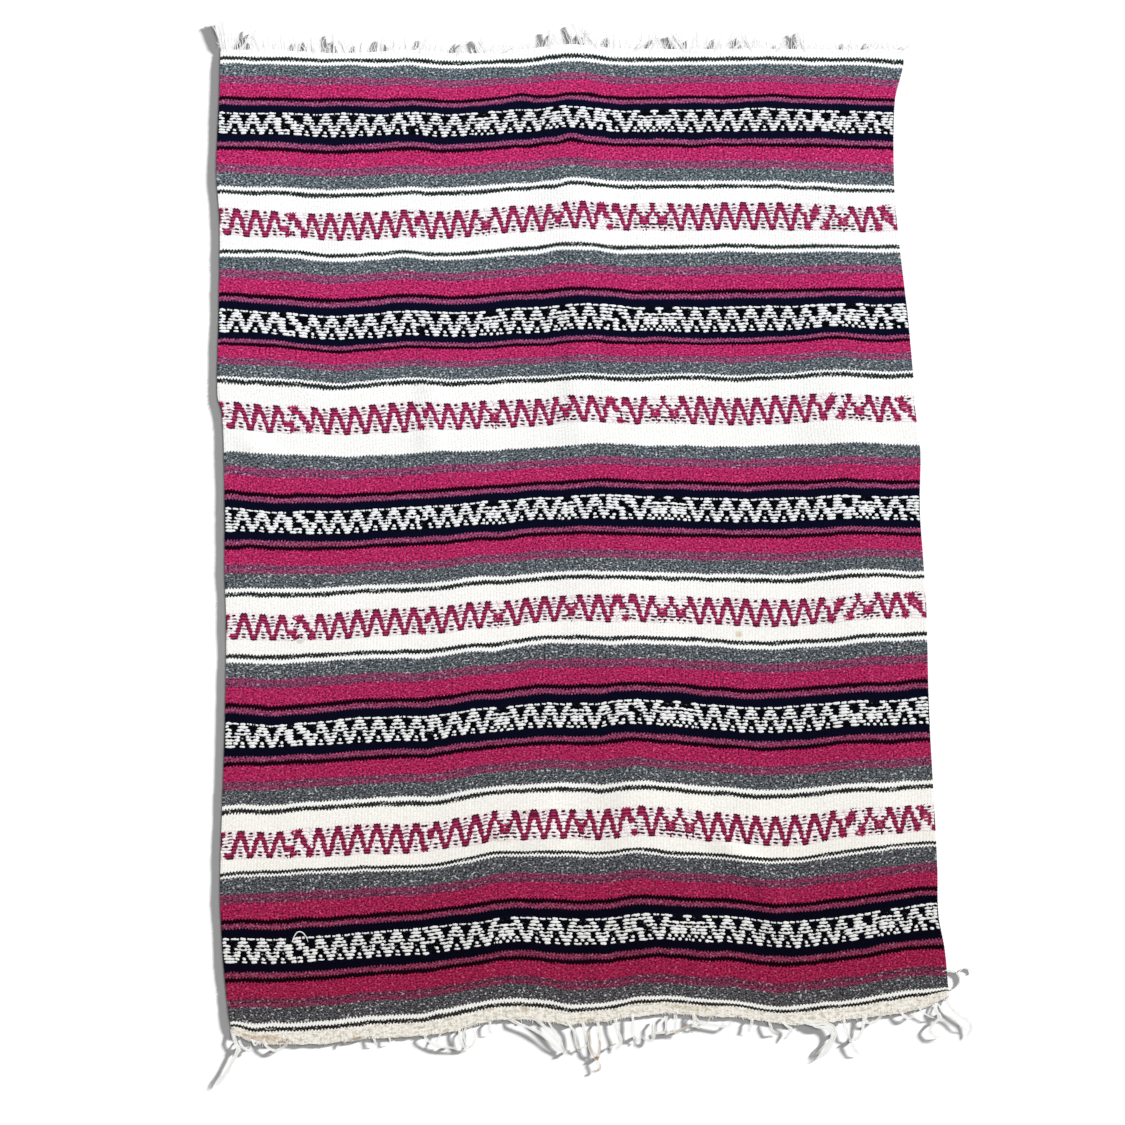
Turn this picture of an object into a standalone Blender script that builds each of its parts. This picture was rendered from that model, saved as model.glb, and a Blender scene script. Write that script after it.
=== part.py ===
"""A striped serape laid flat and face up, with the short warp fringe at both ends.

Metres, +Z up. The warp runs along Y and each weft thread runs across, near X. A point of the cloth
is named by how far down the cloth its weft thread was woven and by how far across the thread it
lies, from 0 at the left selvedge to 1 at the right one. The outline, the drift of the wefts and the
soft folds come from the three tables below, which are in millimetres from the middle of the top edge.
"""

import math
import random
from collections import namedtuple

import bmesh
import bpy
from mathutils import Vector

MM = 0.001

CLOTH_LENGTH = 1774 * MM
CLOTH_THICKNESS = 2.5 * MM
PIECE_GAP = 0.3 * MM
ACROSS_STEPS = 34
DOWN_STEPS = 46

# The folds die away towards both ends, where the cloth lies flat.
END_FLAT = 25 * MM
END_FADE = 110 * MM

# The last heading is drawn up at its two corners, and is narrower on the right half of the cloth.
CORNER_DRAW = 16 * MM
CORNER_REACH = 50 * MM
HEADING = 60 * MM
HEADING_NARROWS = 10 * MM
NARROWS_FROM = 0.38
NARROWS_OVER = 0.14

STRIP_WIDTH = 4 * MM
STRAND_HEIGHT = 2.2 * MM
TIP_SHARE = 0.6
TOP_STRAND_WIDTH = 3.2 * MM
TOP_STRAND_STEPS = 2
LOCK_STEP = 13 * MM
TIP_SPACING = 4.5 * MM

# How far the top strands stray from an even row, from one length and from one lean.
ROOT_STRAY = 0.15
SHORTEST = 0.72
LONGEST = 1.12
LEAN_STRAY = 12
STEEPEST = 0.9
SEED = 7

# A weft thread for each row: how far down it lies, how much lower its left end is than its right
# end, and where it meets the left and the right selvedge.
Section = namedtuple("Section", "down tilt left right")
SECTIONS = [
    Section(0, 0, -630, 608),
    Section(29, 0, -630, 607),
    Section(91, -2, -632, 592),
    Section(218, 4, -637, 590),
    Section(310, 7, -631, 595),
    Section(485, 9, -633, 615),
    Section(620, 12, -635, 627),
    Section(652, 13, -627, 628),
    Section(735, 16, -623, 638),
    Section(842, 22, -622, 637),
    Section(934, 29, -622, 643),
    Section(1030, 40, -619, 649),
    Section(1221, 44, -622, 654),
    Section(1426, 51, -629, 665),
    Section(1515, 56, -630, 669),
    Section(1602, 62, -626, 671),
    Section(1660, 62, -621, 682),
    Section(1709, 60, -616, 687),
    Section(1774, 58, -608, 691),
]

# A long fold for each row: where it lies at the top and at the bottom end, half its width, how far
# it pushes the wefts down the cloth, and how far it lifts them. Both are given at four places, from
# the top end to the bottom end.
Fold = namedtuple("Fold", "x_top x_bottom half push lift")
FOLDS = [
    Fold(-410, -470, 140, push=(6, 13, 3, 6), lift=(0, 0, 0, 0)),
    Fold(-190, -170, 100, push=(7, 5, -9, -6), lift=(0, 0, 3, 4)),
    Fold(5, 115, 95, push=(-10, -5, -11, 0), lift=(7, 4, 5, 0)),
    Fold(60, -100, 115, push=(0, -2, -14, -20), lift=(0, 0, 4, 8)),
    Fold(130, 165, 110, push=(-2, -1, -10, -10), lift=(0, 2, 4, 6)),
    Fold(330, 430, 150, push=(-2, 0, 6, 20), lift=(0, 0, 0, 0)),
    Fold(470, 560, 100, push=(0, -5, -1, 9), lift=(2, 5, 3, 2)),
]

# A short crease for each row: its middle, its half length and half width, the way it runs in
# degrees from the weft, anticlockwise, and its height.
Crease = namedtuple("Crease", "x down reach half angle height")
CREASES = [
    Crease(-165, 1490, 150, 38, 31, 9),
    Crease(-60, 1430, 80, 34, 12, 5),
    Crease(318, 1478, 95, 36, -38, 8),
    Crease(372, 1560, 80, 36, -80, 6),
    Crease(236, 1660, 95, 34, 72, 6),
    Crease(52, 1640, 95, 34, -82, 6),
    Crease(33, 60, 60, 42, 4, 5),
    Crease(-245, 640, 210, 40, 88, 4),
    Crease(14, 560, 190, 34, 90, 4),
    Crease(345, 410, 70, 36, 35, 4),
    Crease(-560, 720, 70, 32, -35, 5),
]

# A tuft of the top fringe for each row: where it starts and ends, how many strands it has, how long
# they are, and how far they lean to the right in degrees.
Tuft = namedtuple("Tuft", "start end strands length lean")
TUFTS = [
    Tuft(-627, -590, 5, 38, -14),
    Tuft(-590, -520, 7, 24, 4),
    Tuft(-520, -390, 13, 28, 6),
    Tuft(-390, -300, 9, 19, 6),
    Tuft(-300, -240, 6, 26, 14),
    Tuft(-240, -110, 12, 20, -8),
    Tuft(-110, -40, 7, 17, 4),
    Tuft(-40, 5, 4, 30, -8),
    Tuft(5, 62, 6, 36, 4),
    Tuft(62, 130, 7, 22, 5),
    Tuft(130, 235, 10, 34, 2),
    Tuft(235, 335, 10, 34, 12),
    Tuft(335, 435, 10, 26, 4),
    Tuft(435, 515, 8, 14, 0),
    Tuft(515, 604, 9, 20, -4),
]

# A lock of the bottom fringe for each row: where it leaves the cloth, its length and width, how far
# it leans to the right as it leaves, and how far it then turns to the right, in degrees.
Lock = namedtuple("Lock", "root length width lean turn")
LOCKS = [
    Lock(-602, 105, 8, 10, -62),
    Lock(-580, 16, 4, 10, 60),
    Lock(-551, 56, 4, -5, 150),
    Lock(-401, 9, 6, -40, 0),
    Lock(-350, 9, 5, 10, 0),
    Lock(-323, 9, 4, 20, 0),
    Lock(-261, 60, 5, 38, 44),
    Lock(-230, 19, 6, -10, 0),
    Lock(-196, 46, 5, 5, 75),
    Lock(-166, 15, 4, -10, 0),
    Lock(-141, 18, 4, 0, 0),
    Lock(-103, 98, 4, 70, -32),
    Lock(-62, 58, 4, 52, -14),
    Lock(-38, 62, 4, 40, -17),
    Lock(-8, 52, 5, 34, -14),
    Lock(26, 42, 5, 18, 8),
    Lock(54, 84, 8, 6, -30),
    Lock(85, 58, 4, 20, -70),
    Lock(114, 34, 5, -2, 8),
    Lock(154, 44, 4, 8, -95),
    Lock(178, 27, 4, 0, 0),
    Lock(197, 26, 4, 6, 40),
    Lock(226, 20, 4, 10, -30),
    Lock(250, 44, 4, 62, 25),
    Lock(332, 13, 4, -15, 0),
    Lock(363, 24, 4, 30, 20),
    Lock(393, 34, 4, 45, -95),
    Lock(448, 92, 8, 86, -142),
    Lock(500, 58, 6, 4, 22),
    Lock(540, 24, 4, -6, -20),
    Lock(562, 11, 4, 40, 0),
    Lock(603, 30, 4, 30, 80),
    Lock(640, 24, 4, 35, 20),
    Lock(664, 44, 8, 8, 12),
    Lock(686, 68, 5, 72, -60),
]

Spot = namedtuple("Spot", "place heading")
Strand = namedtuple("Strand", "root width spots")


def smooth_between(rows, down, field):
    """The named column of SECTIONS at this many millimetres down, as a smooth curve through its rows."""
    last = len(rows) - 2
    i = next((k for k in range(last) if down < rows[k + 1].down), last)
    a, b, c, d = (rows[min(max(k, 0), last + 1)] for k in (i - 1, i, i + 1, i + 2))
    span = c.down - b.down
    t = (down - b.down) / span
    before, start, end, after = (getattr(row, field) for row in (a, b, c, d))
    leave = span * (end - before) / max(c.down - a.down, span)
    arrive = span * (after - start) / max(d.down - b.down, span)
    turn = 2 * (start - end) + leave + arrive
    bend = 3 * (end - start) - 2 * leave - arrive
    return ((turn * t + bend) * t + leave) * t + start


def hill(t):
    """A smooth rise from 0 at t = -1 to 1 at t = 0 and back to 0 at t = 1."""
    return (1 - t * t) ** 2 if abs(t) < 1 else 0.0


def ease(t):
    """A smooth step from 0 at t = 0 to 1 at t = 1."""
    t = min(max(t, 0.0), 1.0)
    return t * t * (3 - 2 * t)


def at_share(values, share):
    """The value at this share of the way along evenly spaced values."""
    place = min(max(share, 0.0), 1.0) * (len(values) - 1)
    i = min(int(place), len(values) - 2)
    return values[i] + (values[i + 1] - values[i]) * (place - i)


def fold_push_and_lift(x, down):
    """How far the long folds push a weft down the cloth and lift it, at x across it."""
    share = down / CLOTH_LENGTH
    push = lift = 0.0
    for fold in FOLDS:
        middle = (fold.x_top + (fold.x_bottom - fold.x_top) * share) * MM
        here = hill((x - middle) / (fold.half * MM))
        push += at_share(fold.push, share) * MM * here
        lift += at_share(fold.lift, share) * MM * here
    return push, lift


def crease_lift(x, down):
    """The height of the short creases at x across and this far down the cloth."""
    lift = 0.0
    for crease in CREASES:
        angle = math.radians(crease.angle)
        right = x - crease.x * MM
        up = crease.down * MM - down
        along = right * math.cos(angle) + up * math.sin(angle)
        aside = up * math.cos(angle) - right * math.sin(angle)
        shape = hill(along / (crease.reach * MM)) * hill(aside / (crease.half * MM))
        lift += crease.height * MM * shape
    return lift


def cloth_point(across, down):
    """The place of the cloth's underside at this share across it and this many metres down it."""
    row = {name: smooth_between(SECTIONS, down / MM, name) * MM for name in ("tilt", "left", "right")}
    x = row["left"] + (row["right"] - row["left"]) * across
    push, lift = fold_push_and_lift(x, down)
    crease = crease_lift(x, down)
    from_end = min(down, CLOTH_LENGTH - down)
    fade = ease((from_end - END_FLAT) / END_FADE)
    corner = min(x - row["left"], row["right"] - x) / CORNER_REACH
    in_heading = ease(1 - (CLOTH_LENGTH - down) / HEADING)
    narrows = HEADING_NARROWS * ease((across - NARROWS_FROM) / NARROWS_OVER)
    drawn_up = in_heading * (CORNER_DRAW * (1 - ease(corner)) + narrows)
    y = -(down + row["tilt"] * (0.5 - across) + push - drawn_up)
    return Vector((x, y, (lift + crease) * fade))


def edge_point(across, down, outside):
    """A point this far outside the end of the cloth, straight between the cloth's own edge points."""
    place = min(max(across, 0.0), 1.0) * ACROSS_STEPS
    i = min(int(place), ACROSS_STEPS - 1)
    start = cloth_point(i / ACROSS_STEPS, down)
    end = cloth_point((i + 1) / ACROSS_STEPS, down)
    point = start.lerp(end, place - i)
    away = 1 if down == 0 else -1
    return Vector((point.x, point.y + away * outside, 0.0))


def across_at(x, down):
    """The share across the end of the cloth at which it reaches x."""
    left = smooth_between(SECTIONS, down / MM, "left") * MM
    right = smooth_between(SECTIONS, down / MM, "right") * MM
    return (x - left) / (right - left)


def plain_material(name, color, roughness):
    material = bpy.data.materials.new(name)
    material.use_nodes = True
    shader = material.node_tree.nodes["Principled BSDF"]
    shader.inputs["Base Color"].default_value = (*color, 1.0)
    shader.inputs["Roughness"].default_value = roughness
    shader.inputs["Metallic"].default_value = 0.0
    return material


def finish(bm, name, collection, material):
    """The mesh made an object of its own in the collection, with its material."""
    mesh = bpy.data.meshes.new(name)
    bm.to_mesh(mesh)
    bm.free()
    mesh.materials.append(material)
    obj = bpy.data.objects.new(name, mesh)
    collection.objects.link(obj)
    return obj


def make_cloth(collection):
    """The woven sheet: a grid of weft and warp lines laid over the folds, then thickened upwards."""
    bm = bmesh.new()
    bmesh.ops.create_grid(bm, x_segments=ACROSS_STEPS, y_segments=DOWN_STEPS, size=0.5)
    for vert in bm.verts:
        vert.co = cloth_point(vert.co.x + 0.5, (0.5 - vert.co.y) * CLOTH_LENGTH)
    wool = plain_material("striped_wool", (0.36, 0.10, 0.18), 0.95)
    cloth = finish(bm, "cloth", collection, wool)
    cloth.data.shade_smooth()
    shell = cloth.modifiers.new("Thickness", "SOLIDIFY")
    shell.thickness = CLOTH_THICKNESS
    shell.offset = 1.0
    return cloth


def follow(root, away, length, lean, turn, steps):
    """Spots along a strand that leaves the root, leaning and then turning to the right."""
    spots = []
    place = root.copy()
    for i in range(steps + 1):
        aim = math.radians(lean + turn * i / steps)
        heading = Vector((math.sin(aim), away * math.cos(aim), 0.0))
        if i:
            place = place + heading * (length / steps)
        spots.append(Spot(place.copy(), heading))
    return spots


def grow(bm, face, strand):
    """A strand of four sides drawn out of its root face, level on the surface, narrower at its tip."""
    root = strand.spots[0]
    right = Vector((root.heading.y, -root.heading.x, 0.0))
    centre = face.calc_center_median()
    roles = [((v.co - centre).dot(right) > 0, v.co.z > centre.z) for v in face.verts]
    for i, spot in enumerate(strand.spots[1:], 1):
        face = bmesh.ops.extrude_discrete_faces(bm, faces=[face])["faces"][0]
        right = Vector((spot.heading.y, -spot.heading.x, 0.0))
        thin = 1 + (TIP_SHARE - 1) * i / (len(strand.spots) - 1)
        for vert, (is_right, is_top) in zip(face.verts, roles):
            side = strand.width / 2 * thin * (1 if is_right else -1)
            vert.co = spot.place + right * side
            vert.co.z = STRAND_HEIGHT * thin if is_top else 0.0


def make_fringe(name, down, strands, collection, material):
    """A narrow strip that follows the cloth's end, with each strand grown out of its outer side."""
    stations = [i / ACROSS_STEPS for i in range(ACROSS_STEPS + 1)]
    for strand in strands:
        start = across_at(strand.root - strand.width / 2, down)
        end = across_at(strand.root + strand.width / 2, down)
        stations = [s for s in stations if s < start or s > end] + [start, end]
    stations.sort()
    bm = bmesh.new()
    bmesh.ops.create_grid(bm, x_segments=len(stations) - 1, y_segments=1, size=0.5)
    for vert in bm.verts:
        station = stations[round((vert.co.x + 0.5) * (len(stations) - 1))]
        outside = PIECE_GAP + (STRIP_WIDTH if vert.co.y > 0 else 0.0)
        vert.co = edge_point(station, down, outside)
    raised = bmesh.ops.extrude_face_region(bm, geom=bm.faces[:])["geom"]
    for vert in raised:
        if isinstance(vert, bmesh.types.BMVert):
            vert.co.z += CLOTH_THICKNESS
    bmesh.ops.recalc_face_normals(bm, faces=bm.faces)
    away = 1 if down == 0 else -1
    outer_side = [face for face in bm.faces if face.normal.y * away > 0.5]
    for strand in strands:
        middle = strand.root
        root_face = min(outer_side, key=lambda f: abs(f.calc_center_median().x - middle))
        outer_side.remove(root_face)
        grow(bm, root_face, strand)
    return finish(bm, name, collection, material)


def top_strands():
    """The strands of the top tufts, uneven in length and lean, with no tip across its neighbour."""
    chance = random.Random(SEED)
    strands = []
    last_tip = -math.inf
    for tuft in TUFTS:
        pitch = (tuft.end - tuft.start) / tuft.strands
        for i in range(tuft.strands):
            place = i + 0.5 + chance.uniform(-ROOT_STRAY, ROOT_STRAY)
            root = (tuft.start + place * pitch) * MM
            length = tuft.length * MM * chance.uniform(SHORTEST, LONGEST)
            lean = tuft.lean + chance.uniform(-LEAN_STRAY, LEAN_STRAY)
            reach = length * math.sin(math.radians(lean))
            reach = max(reach, last_tip + TIP_SPACING - root)
            lean = math.degrees(math.asin(min(reach / length, STEEPEST)))
            last_tip = root + length * math.sin(math.radians(lean))
            start = edge_point(across_at(root, 0.0), 0.0, PIECE_GAP + STRIP_WIDTH)
            spots = follow(start, 1, length, lean, 0.0, TOP_STRAND_STEPS)
            strands.append(Strand(root, TOP_STRAND_WIDTH, spots))
    return strands


def bottom_strands():
    """The locks of the bottom fringe, each along its own arc."""
    strands = []
    for lock in LOCKS:
        root = lock.root * MM
        length = lock.length * MM
        start = edge_point(across_at(root, CLOTH_LENGTH), CLOTH_LENGTH, PIECE_GAP + STRIP_WIDTH)
        steps = max(1, round(length / LOCK_STEP))
        spots = follow(start, -1, length, lock.lean, lock.turn, steps)
        strands.append(Strand(root, lock.width * MM, spots))
    return strands


def centre_on_floor(parts):
    """The pieces moved together, so that the middle of their box on the floor is the origin."""
    corners = [v.co for part in parts for v in part.data.vertices]
    middle_x = (min(c.x for c in corners) + max(c.x for c in corners)) / 2
    middle_y = (min(c.y for c in corners) + max(c.y for c in corners)) / 2
    for part in parts:
        for vert in part.data.vertices:
            vert.co.x -= middle_x
            vert.co.y -= middle_y


def main():
    for obj in list(bpy.data.objects):
        bpy.data.objects.remove(obj, do_unlink=True)
    collection = bpy.data.collections.new("serape")
    bpy.context.scene.collection.children.link(collection)
    top_yarn = plain_material("white_warp", (0.86, 0.85, 0.82), 0.9)
    bottom_yarn = plain_material("cream_warp", (0.80, 0.74, 0.64), 0.9)
    parts = [
        make_cloth(collection),
        make_fringe("fringe_top", 0.0, top_strands(), collection, top_yarn),
        make_fringe("fringe_bottom", CLOTH_LENGTH, bottom_strands(), collection, bottom_yarn),
    ]
    centre_on_floor(parts)


main()
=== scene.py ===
# %% [markdown]
# # A striped serape, laid flat
# A serape is a blanket woven on a hand loom. The warp is strong cotton under tension, and the weft is
# soft spun yarn, beaten down so hard that it hides the warp. Every stripe is therefore one colour of
# weft, and the only warp that shows is the fringe at the two ends. This file dresses a plain packed
# solid of the blanket with the real one's looks: ribbed cloth, raised zigzags, and yarn ends.

import math
import random
from collections import namedtuple

import bpy
import numpy as np
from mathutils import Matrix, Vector, noise


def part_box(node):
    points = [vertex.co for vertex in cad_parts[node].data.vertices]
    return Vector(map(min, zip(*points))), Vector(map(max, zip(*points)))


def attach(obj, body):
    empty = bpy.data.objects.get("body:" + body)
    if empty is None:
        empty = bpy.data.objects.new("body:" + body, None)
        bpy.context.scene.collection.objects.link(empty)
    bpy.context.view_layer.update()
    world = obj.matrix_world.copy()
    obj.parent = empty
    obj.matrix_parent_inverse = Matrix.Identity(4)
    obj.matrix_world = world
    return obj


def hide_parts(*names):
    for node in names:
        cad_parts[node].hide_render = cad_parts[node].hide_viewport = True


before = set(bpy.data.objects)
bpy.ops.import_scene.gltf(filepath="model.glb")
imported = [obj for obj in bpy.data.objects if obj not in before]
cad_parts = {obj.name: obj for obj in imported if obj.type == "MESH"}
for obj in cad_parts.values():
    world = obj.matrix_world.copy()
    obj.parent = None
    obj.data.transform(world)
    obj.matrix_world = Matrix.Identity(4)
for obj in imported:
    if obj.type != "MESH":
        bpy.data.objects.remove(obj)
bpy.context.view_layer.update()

MM = 0.001
SEED = 11
chance = random.Random(SEED)

# %% [markdown]
# ## How the cloth lies
# A hand loom leaves nothing straight: the selvedges wander, the wefts drift down to the left, and soft
# folds push the stripes out of line. The solid was laid over the same folds, so its tables are repeated
# here, in millimetres from the middle of the top edge. Reading them as smooth curves puts every
# thread of the looks exactly where the solid has it.

# %% The outline, the drift of the wefts and the folds
CLOTH_LENGTH = 1774 * MM
CLOTH_THICKNESS = 2.5 * MM
END_FLAT, END_FADE = 25 * MM, 110 * MM
CORNER_DRAW, CORNER_REACH = 16 * MM, 50 * MM
HEADING, HEADING_NARROWS = 60 * MM, 10 * MM
NARROWS_FROM, NARROWS_OVER = 0.38, 0.14

Section = namedtuple("Section", "down tilt left right")
SECTIONS = [
    Section(0, 0, -630, 608), Section(29, 0, -630, 607), Section(91, -2, -632, 592),
    Section(218, 4, -637, 590), Section(310, 7, -631, 595), Section(485, 9, -633, 615),
    Section(620, 12, -635, 627), Section(652, 13, -627, 628), Section(735, 16, -623, 638),
    Section(842, 22, -622, 637), Section(934, 29, -622, 643), Section(1030, 40, -619, 649),
    Section(1221, 44, -622, 654), Section(1426, 51, -629, 665), Section(1515, 56, -630, 669),
    Section(1602, 62, -626, 671), Section(1660, 62, -621, 682), Section(1709, 60, -616, 687),
    Section(1774, 58, -608, 691),
]

Fold = namedtuple("Fold", "x_top x_bottom half push lift")
FOLDS = [
    Fold(-410, -470, 140, push=(6, 13, 3, 6), lift=(0, 0, 0, 0)),
    Fold(-190, -170, 100, push=(7, 5, -9, -6), lift=(0, 0, 3, 4)),
    Fold(5, 115, 95, push=(-10, -5, -11, 0), lift=(7, 4, 5, 0)),
    Fold(60, -100, 115, push=(0, -2, -14, -20), lift=(0, 0, 4, 8)),
    Fold(130, 165, 110, push=(-2, -1, -10, -10), lift=(0, 2, 4, 6)),
    Fold(330, 430, 150, push=(-2, 0, 6, 20), lift=(0, 0, 0, 0)),
    Fold(470, 560, 100, push=(0, -5, -1, 9), lift=(2, 5, 3, 2)),
]

Crease = namedtuple("Crease", "x down reach half angle height")
CREASES = [
    Crease(-165, 1490, 150, 38, 31, 9), Crease(-60, 1430, 80, 34, 12, 5),
    Crease(318, 1478, 95, 36, -38, 8), Crease(372, 1560, 80, 36, -80, 6),
    Crease(236, 1660, 95, 34, 72, 6), Crease(52, 1640, 95, 34, -82, 6),
    Crease(33, 60, 60, 42, 4, 5), Crease(-245, 640, 210, 40, 88, 4),
    Crease(14, 560, 190, 34, 90, 4), Crease(345, 410, 70, 36, 35, 4),
    Crease(-560, 720, 70, 32, -35, 5),
]
print(len(SECTIONS), "wefts,", len(FOLDS), "long folds and", len(CREASES), "creases set the cloth out")


# %% Reading the tables as smooth curves
def weft_curve(field, down):
    """The named column of SECTIONS at these distances down in millimetres."""
    at = np.array([row.down for row in SECTIONS], float)
    value = np.array([getattr(row, field) for row in SECTIONS], float)
    i = np.clip(np.searchsorted(at, down, side="right") - 1, 0, len(at) - 2)
    before, after = np.maximum(i - 1, 0), np.minimum(i + 2, len(at) - 1)
    span = at[i + 1] - at[i]
    t = (down - at[i]) / span
    leave = span * (value[i + 1] - value[before]) / np.maximum(at[i + 1] - at[before], span)
    arrive = span * (value[after] - value[i]) / np.maximum(at[after] - at[i], span)
    turn = 2 * (value[i] - value[i + 1]) + leave + arrive
    bend = 3 * (value[i + 1] - value[i]) - 2 * leave - arrive
    return ((turn * t + bend) * t + leave) * t + value[i]


def hill(t):
    """A smooth rise from 0 at t = -1 to 1 at t = 0 and back to 0 at t = 1."""
    return np.clip(1 - t * t, 0, None) ** 2


def ease(t):
    """A smooth step from 0 at t = 0 to 1 at t = 1."""
    t = np.clip(t, 0, 1)
    return t * t * (3 - 2 * t)


def along_table(values, share):
    """The value at this share of the way along evenly spaced values."""
    return np.interp(np.clip(share, 0, 1) * (len(values) - 1), range(len(values)), values)


HALF_WAY = np.array(CLOTH_LENGTH / 2 / MM)
print("half way down, the left selvedge lies at", round(float(weft_curve("left", HALF_WAY))), "mm")


# %% The lie of the underside
def underside(across, down):
    """Places of the cloth's underside, before it is centred, at these shares across and metres down."""
    across, down = np.broadcast_arrays(np.asarray(across, float), np.asarray(down, float))
    tilt, left, right = (weft_curve(field, down / MM) * MM for field in ("tilt", "left", "right"))
    x = left + (right - left) * across
    share = down / CLOTH_LENGTH
    push, lift = np.zeros_like(x), np.zeros_like(x)
    for fold in FOLDS:
        middle = (fold.x_top + (fold.x_bottom - fold.x_top) * share) * MM
        here = hill((x - middle) / (fold.half * MM)) * MM
        push += along_table(fold.push, share) * here
        lift += along_table(fold.lift, share) * here
    for crease in CREASES:
        angle = math.radians(crease.angle)
        to_right, up = x - crease.x * MM, crease.down * MM - down
        along = to_right * math.cos(angle) + up * math.sin(angle)
        aside = up * math.cos(angle) - to_right * math.sin(angle)
        lift += crease.height * MM * hill(along / (crease.reach * MM)) * hill(aside / (crease.half * MM))
    fade = ease((np.minimum(down, CLOTH_LENGTH - down) - END_FLAT) / END_FADE)
    corner = ease(np.minimum(x - left, right - x) / CORNER_REACH)
    narrows = HEADING_NARROWS * ease((across - NARROWS_FROM) / NARROWS_OVER)
    drawn_up = ease(1 - (CLOTH_LENGTH - down) / HEADING) * (CORNER_DRAW * (1 - corner) + narrows)
    y = -(down + tilt * (0.5 - across) + push - drawn_up)
    return np.stack([x, y, lift * fade], axis=-1)


# %% Centre the cloth where the solid lies
ACROSS_STEPS, DOWN_STEPS = 34, 46
coarse = underside(np.linspace(0, 1, ACROSS_STEPS + 1)[None, :],
                   np.linspace(0, CLOTH_LENGTH, DOWN_STEPS + 1)[:, None])
solid_low, solid_high = (np.array(corner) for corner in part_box("cloth"))
CENTRE = (coarse.min((0, 1)) + coarse.max((0, 1))) / 2 - (solid_low + solid_high) / 2
CENTRE[2] = 0.0
print("the tables' origin lies at", np.round(-CENTRE, 5), "of the solid's frame")

# %% [markdown]
# ## Where the bands lie
# Five black and white zigzag bands alternate with four pink and white ones. Between two bands the
# plain stripes always come in the same order, turned over in every other gap, so one list of stripe
# widths is enough. A single number, the stripe place, counts through the gaps and bands: even whole
# numbers start a gap, odd ones a band, and the fraction is the share of the way through it.

# %% Bands in millimetres down the cloth
Band = namedtuple("Band", "name start height")
BANDS = [
    Band("black_zigzag_1", 111.5, 40), Band("pink_zigzag_1", 282, 49),
    Band("black_zigzag_2", 463, 47), Band("pink_zigzag_2", 630, 51.5),
    Band("black_zigzag_3", 817.5, 46), Band("pink_zigzag_3", 1001, 48.5),
    Band("black_zigzag_4", 1196, 50), Band("pink_zigzag_4", 1391, 50.5),
    Band("black_zigzag_5", 1578, 51.5),
]
FIRST_GAP, LAST_GAP = 124.0, 147.0
EDGES_MM = [BANDS[0].start - FIRST_GAP]
for band in BANDS:
    EDGES_MM += [band.start, band.start + band.height]
EDGES_MM.append(EDGES_MM[-1] + LAST_GAP)
EDGES = np.array(EDGES_MM) * MM


def stripe_place(down):
    """The stripe place at these metres down the cloth."""
    return np.interp(down, EDGES, np.arange(len(EDGES)))


print(len(BANDS), "bands; gaps of", [round(float(g / MM), 1) for g in np.diff(EDGES)[::2]], "mm")
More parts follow.
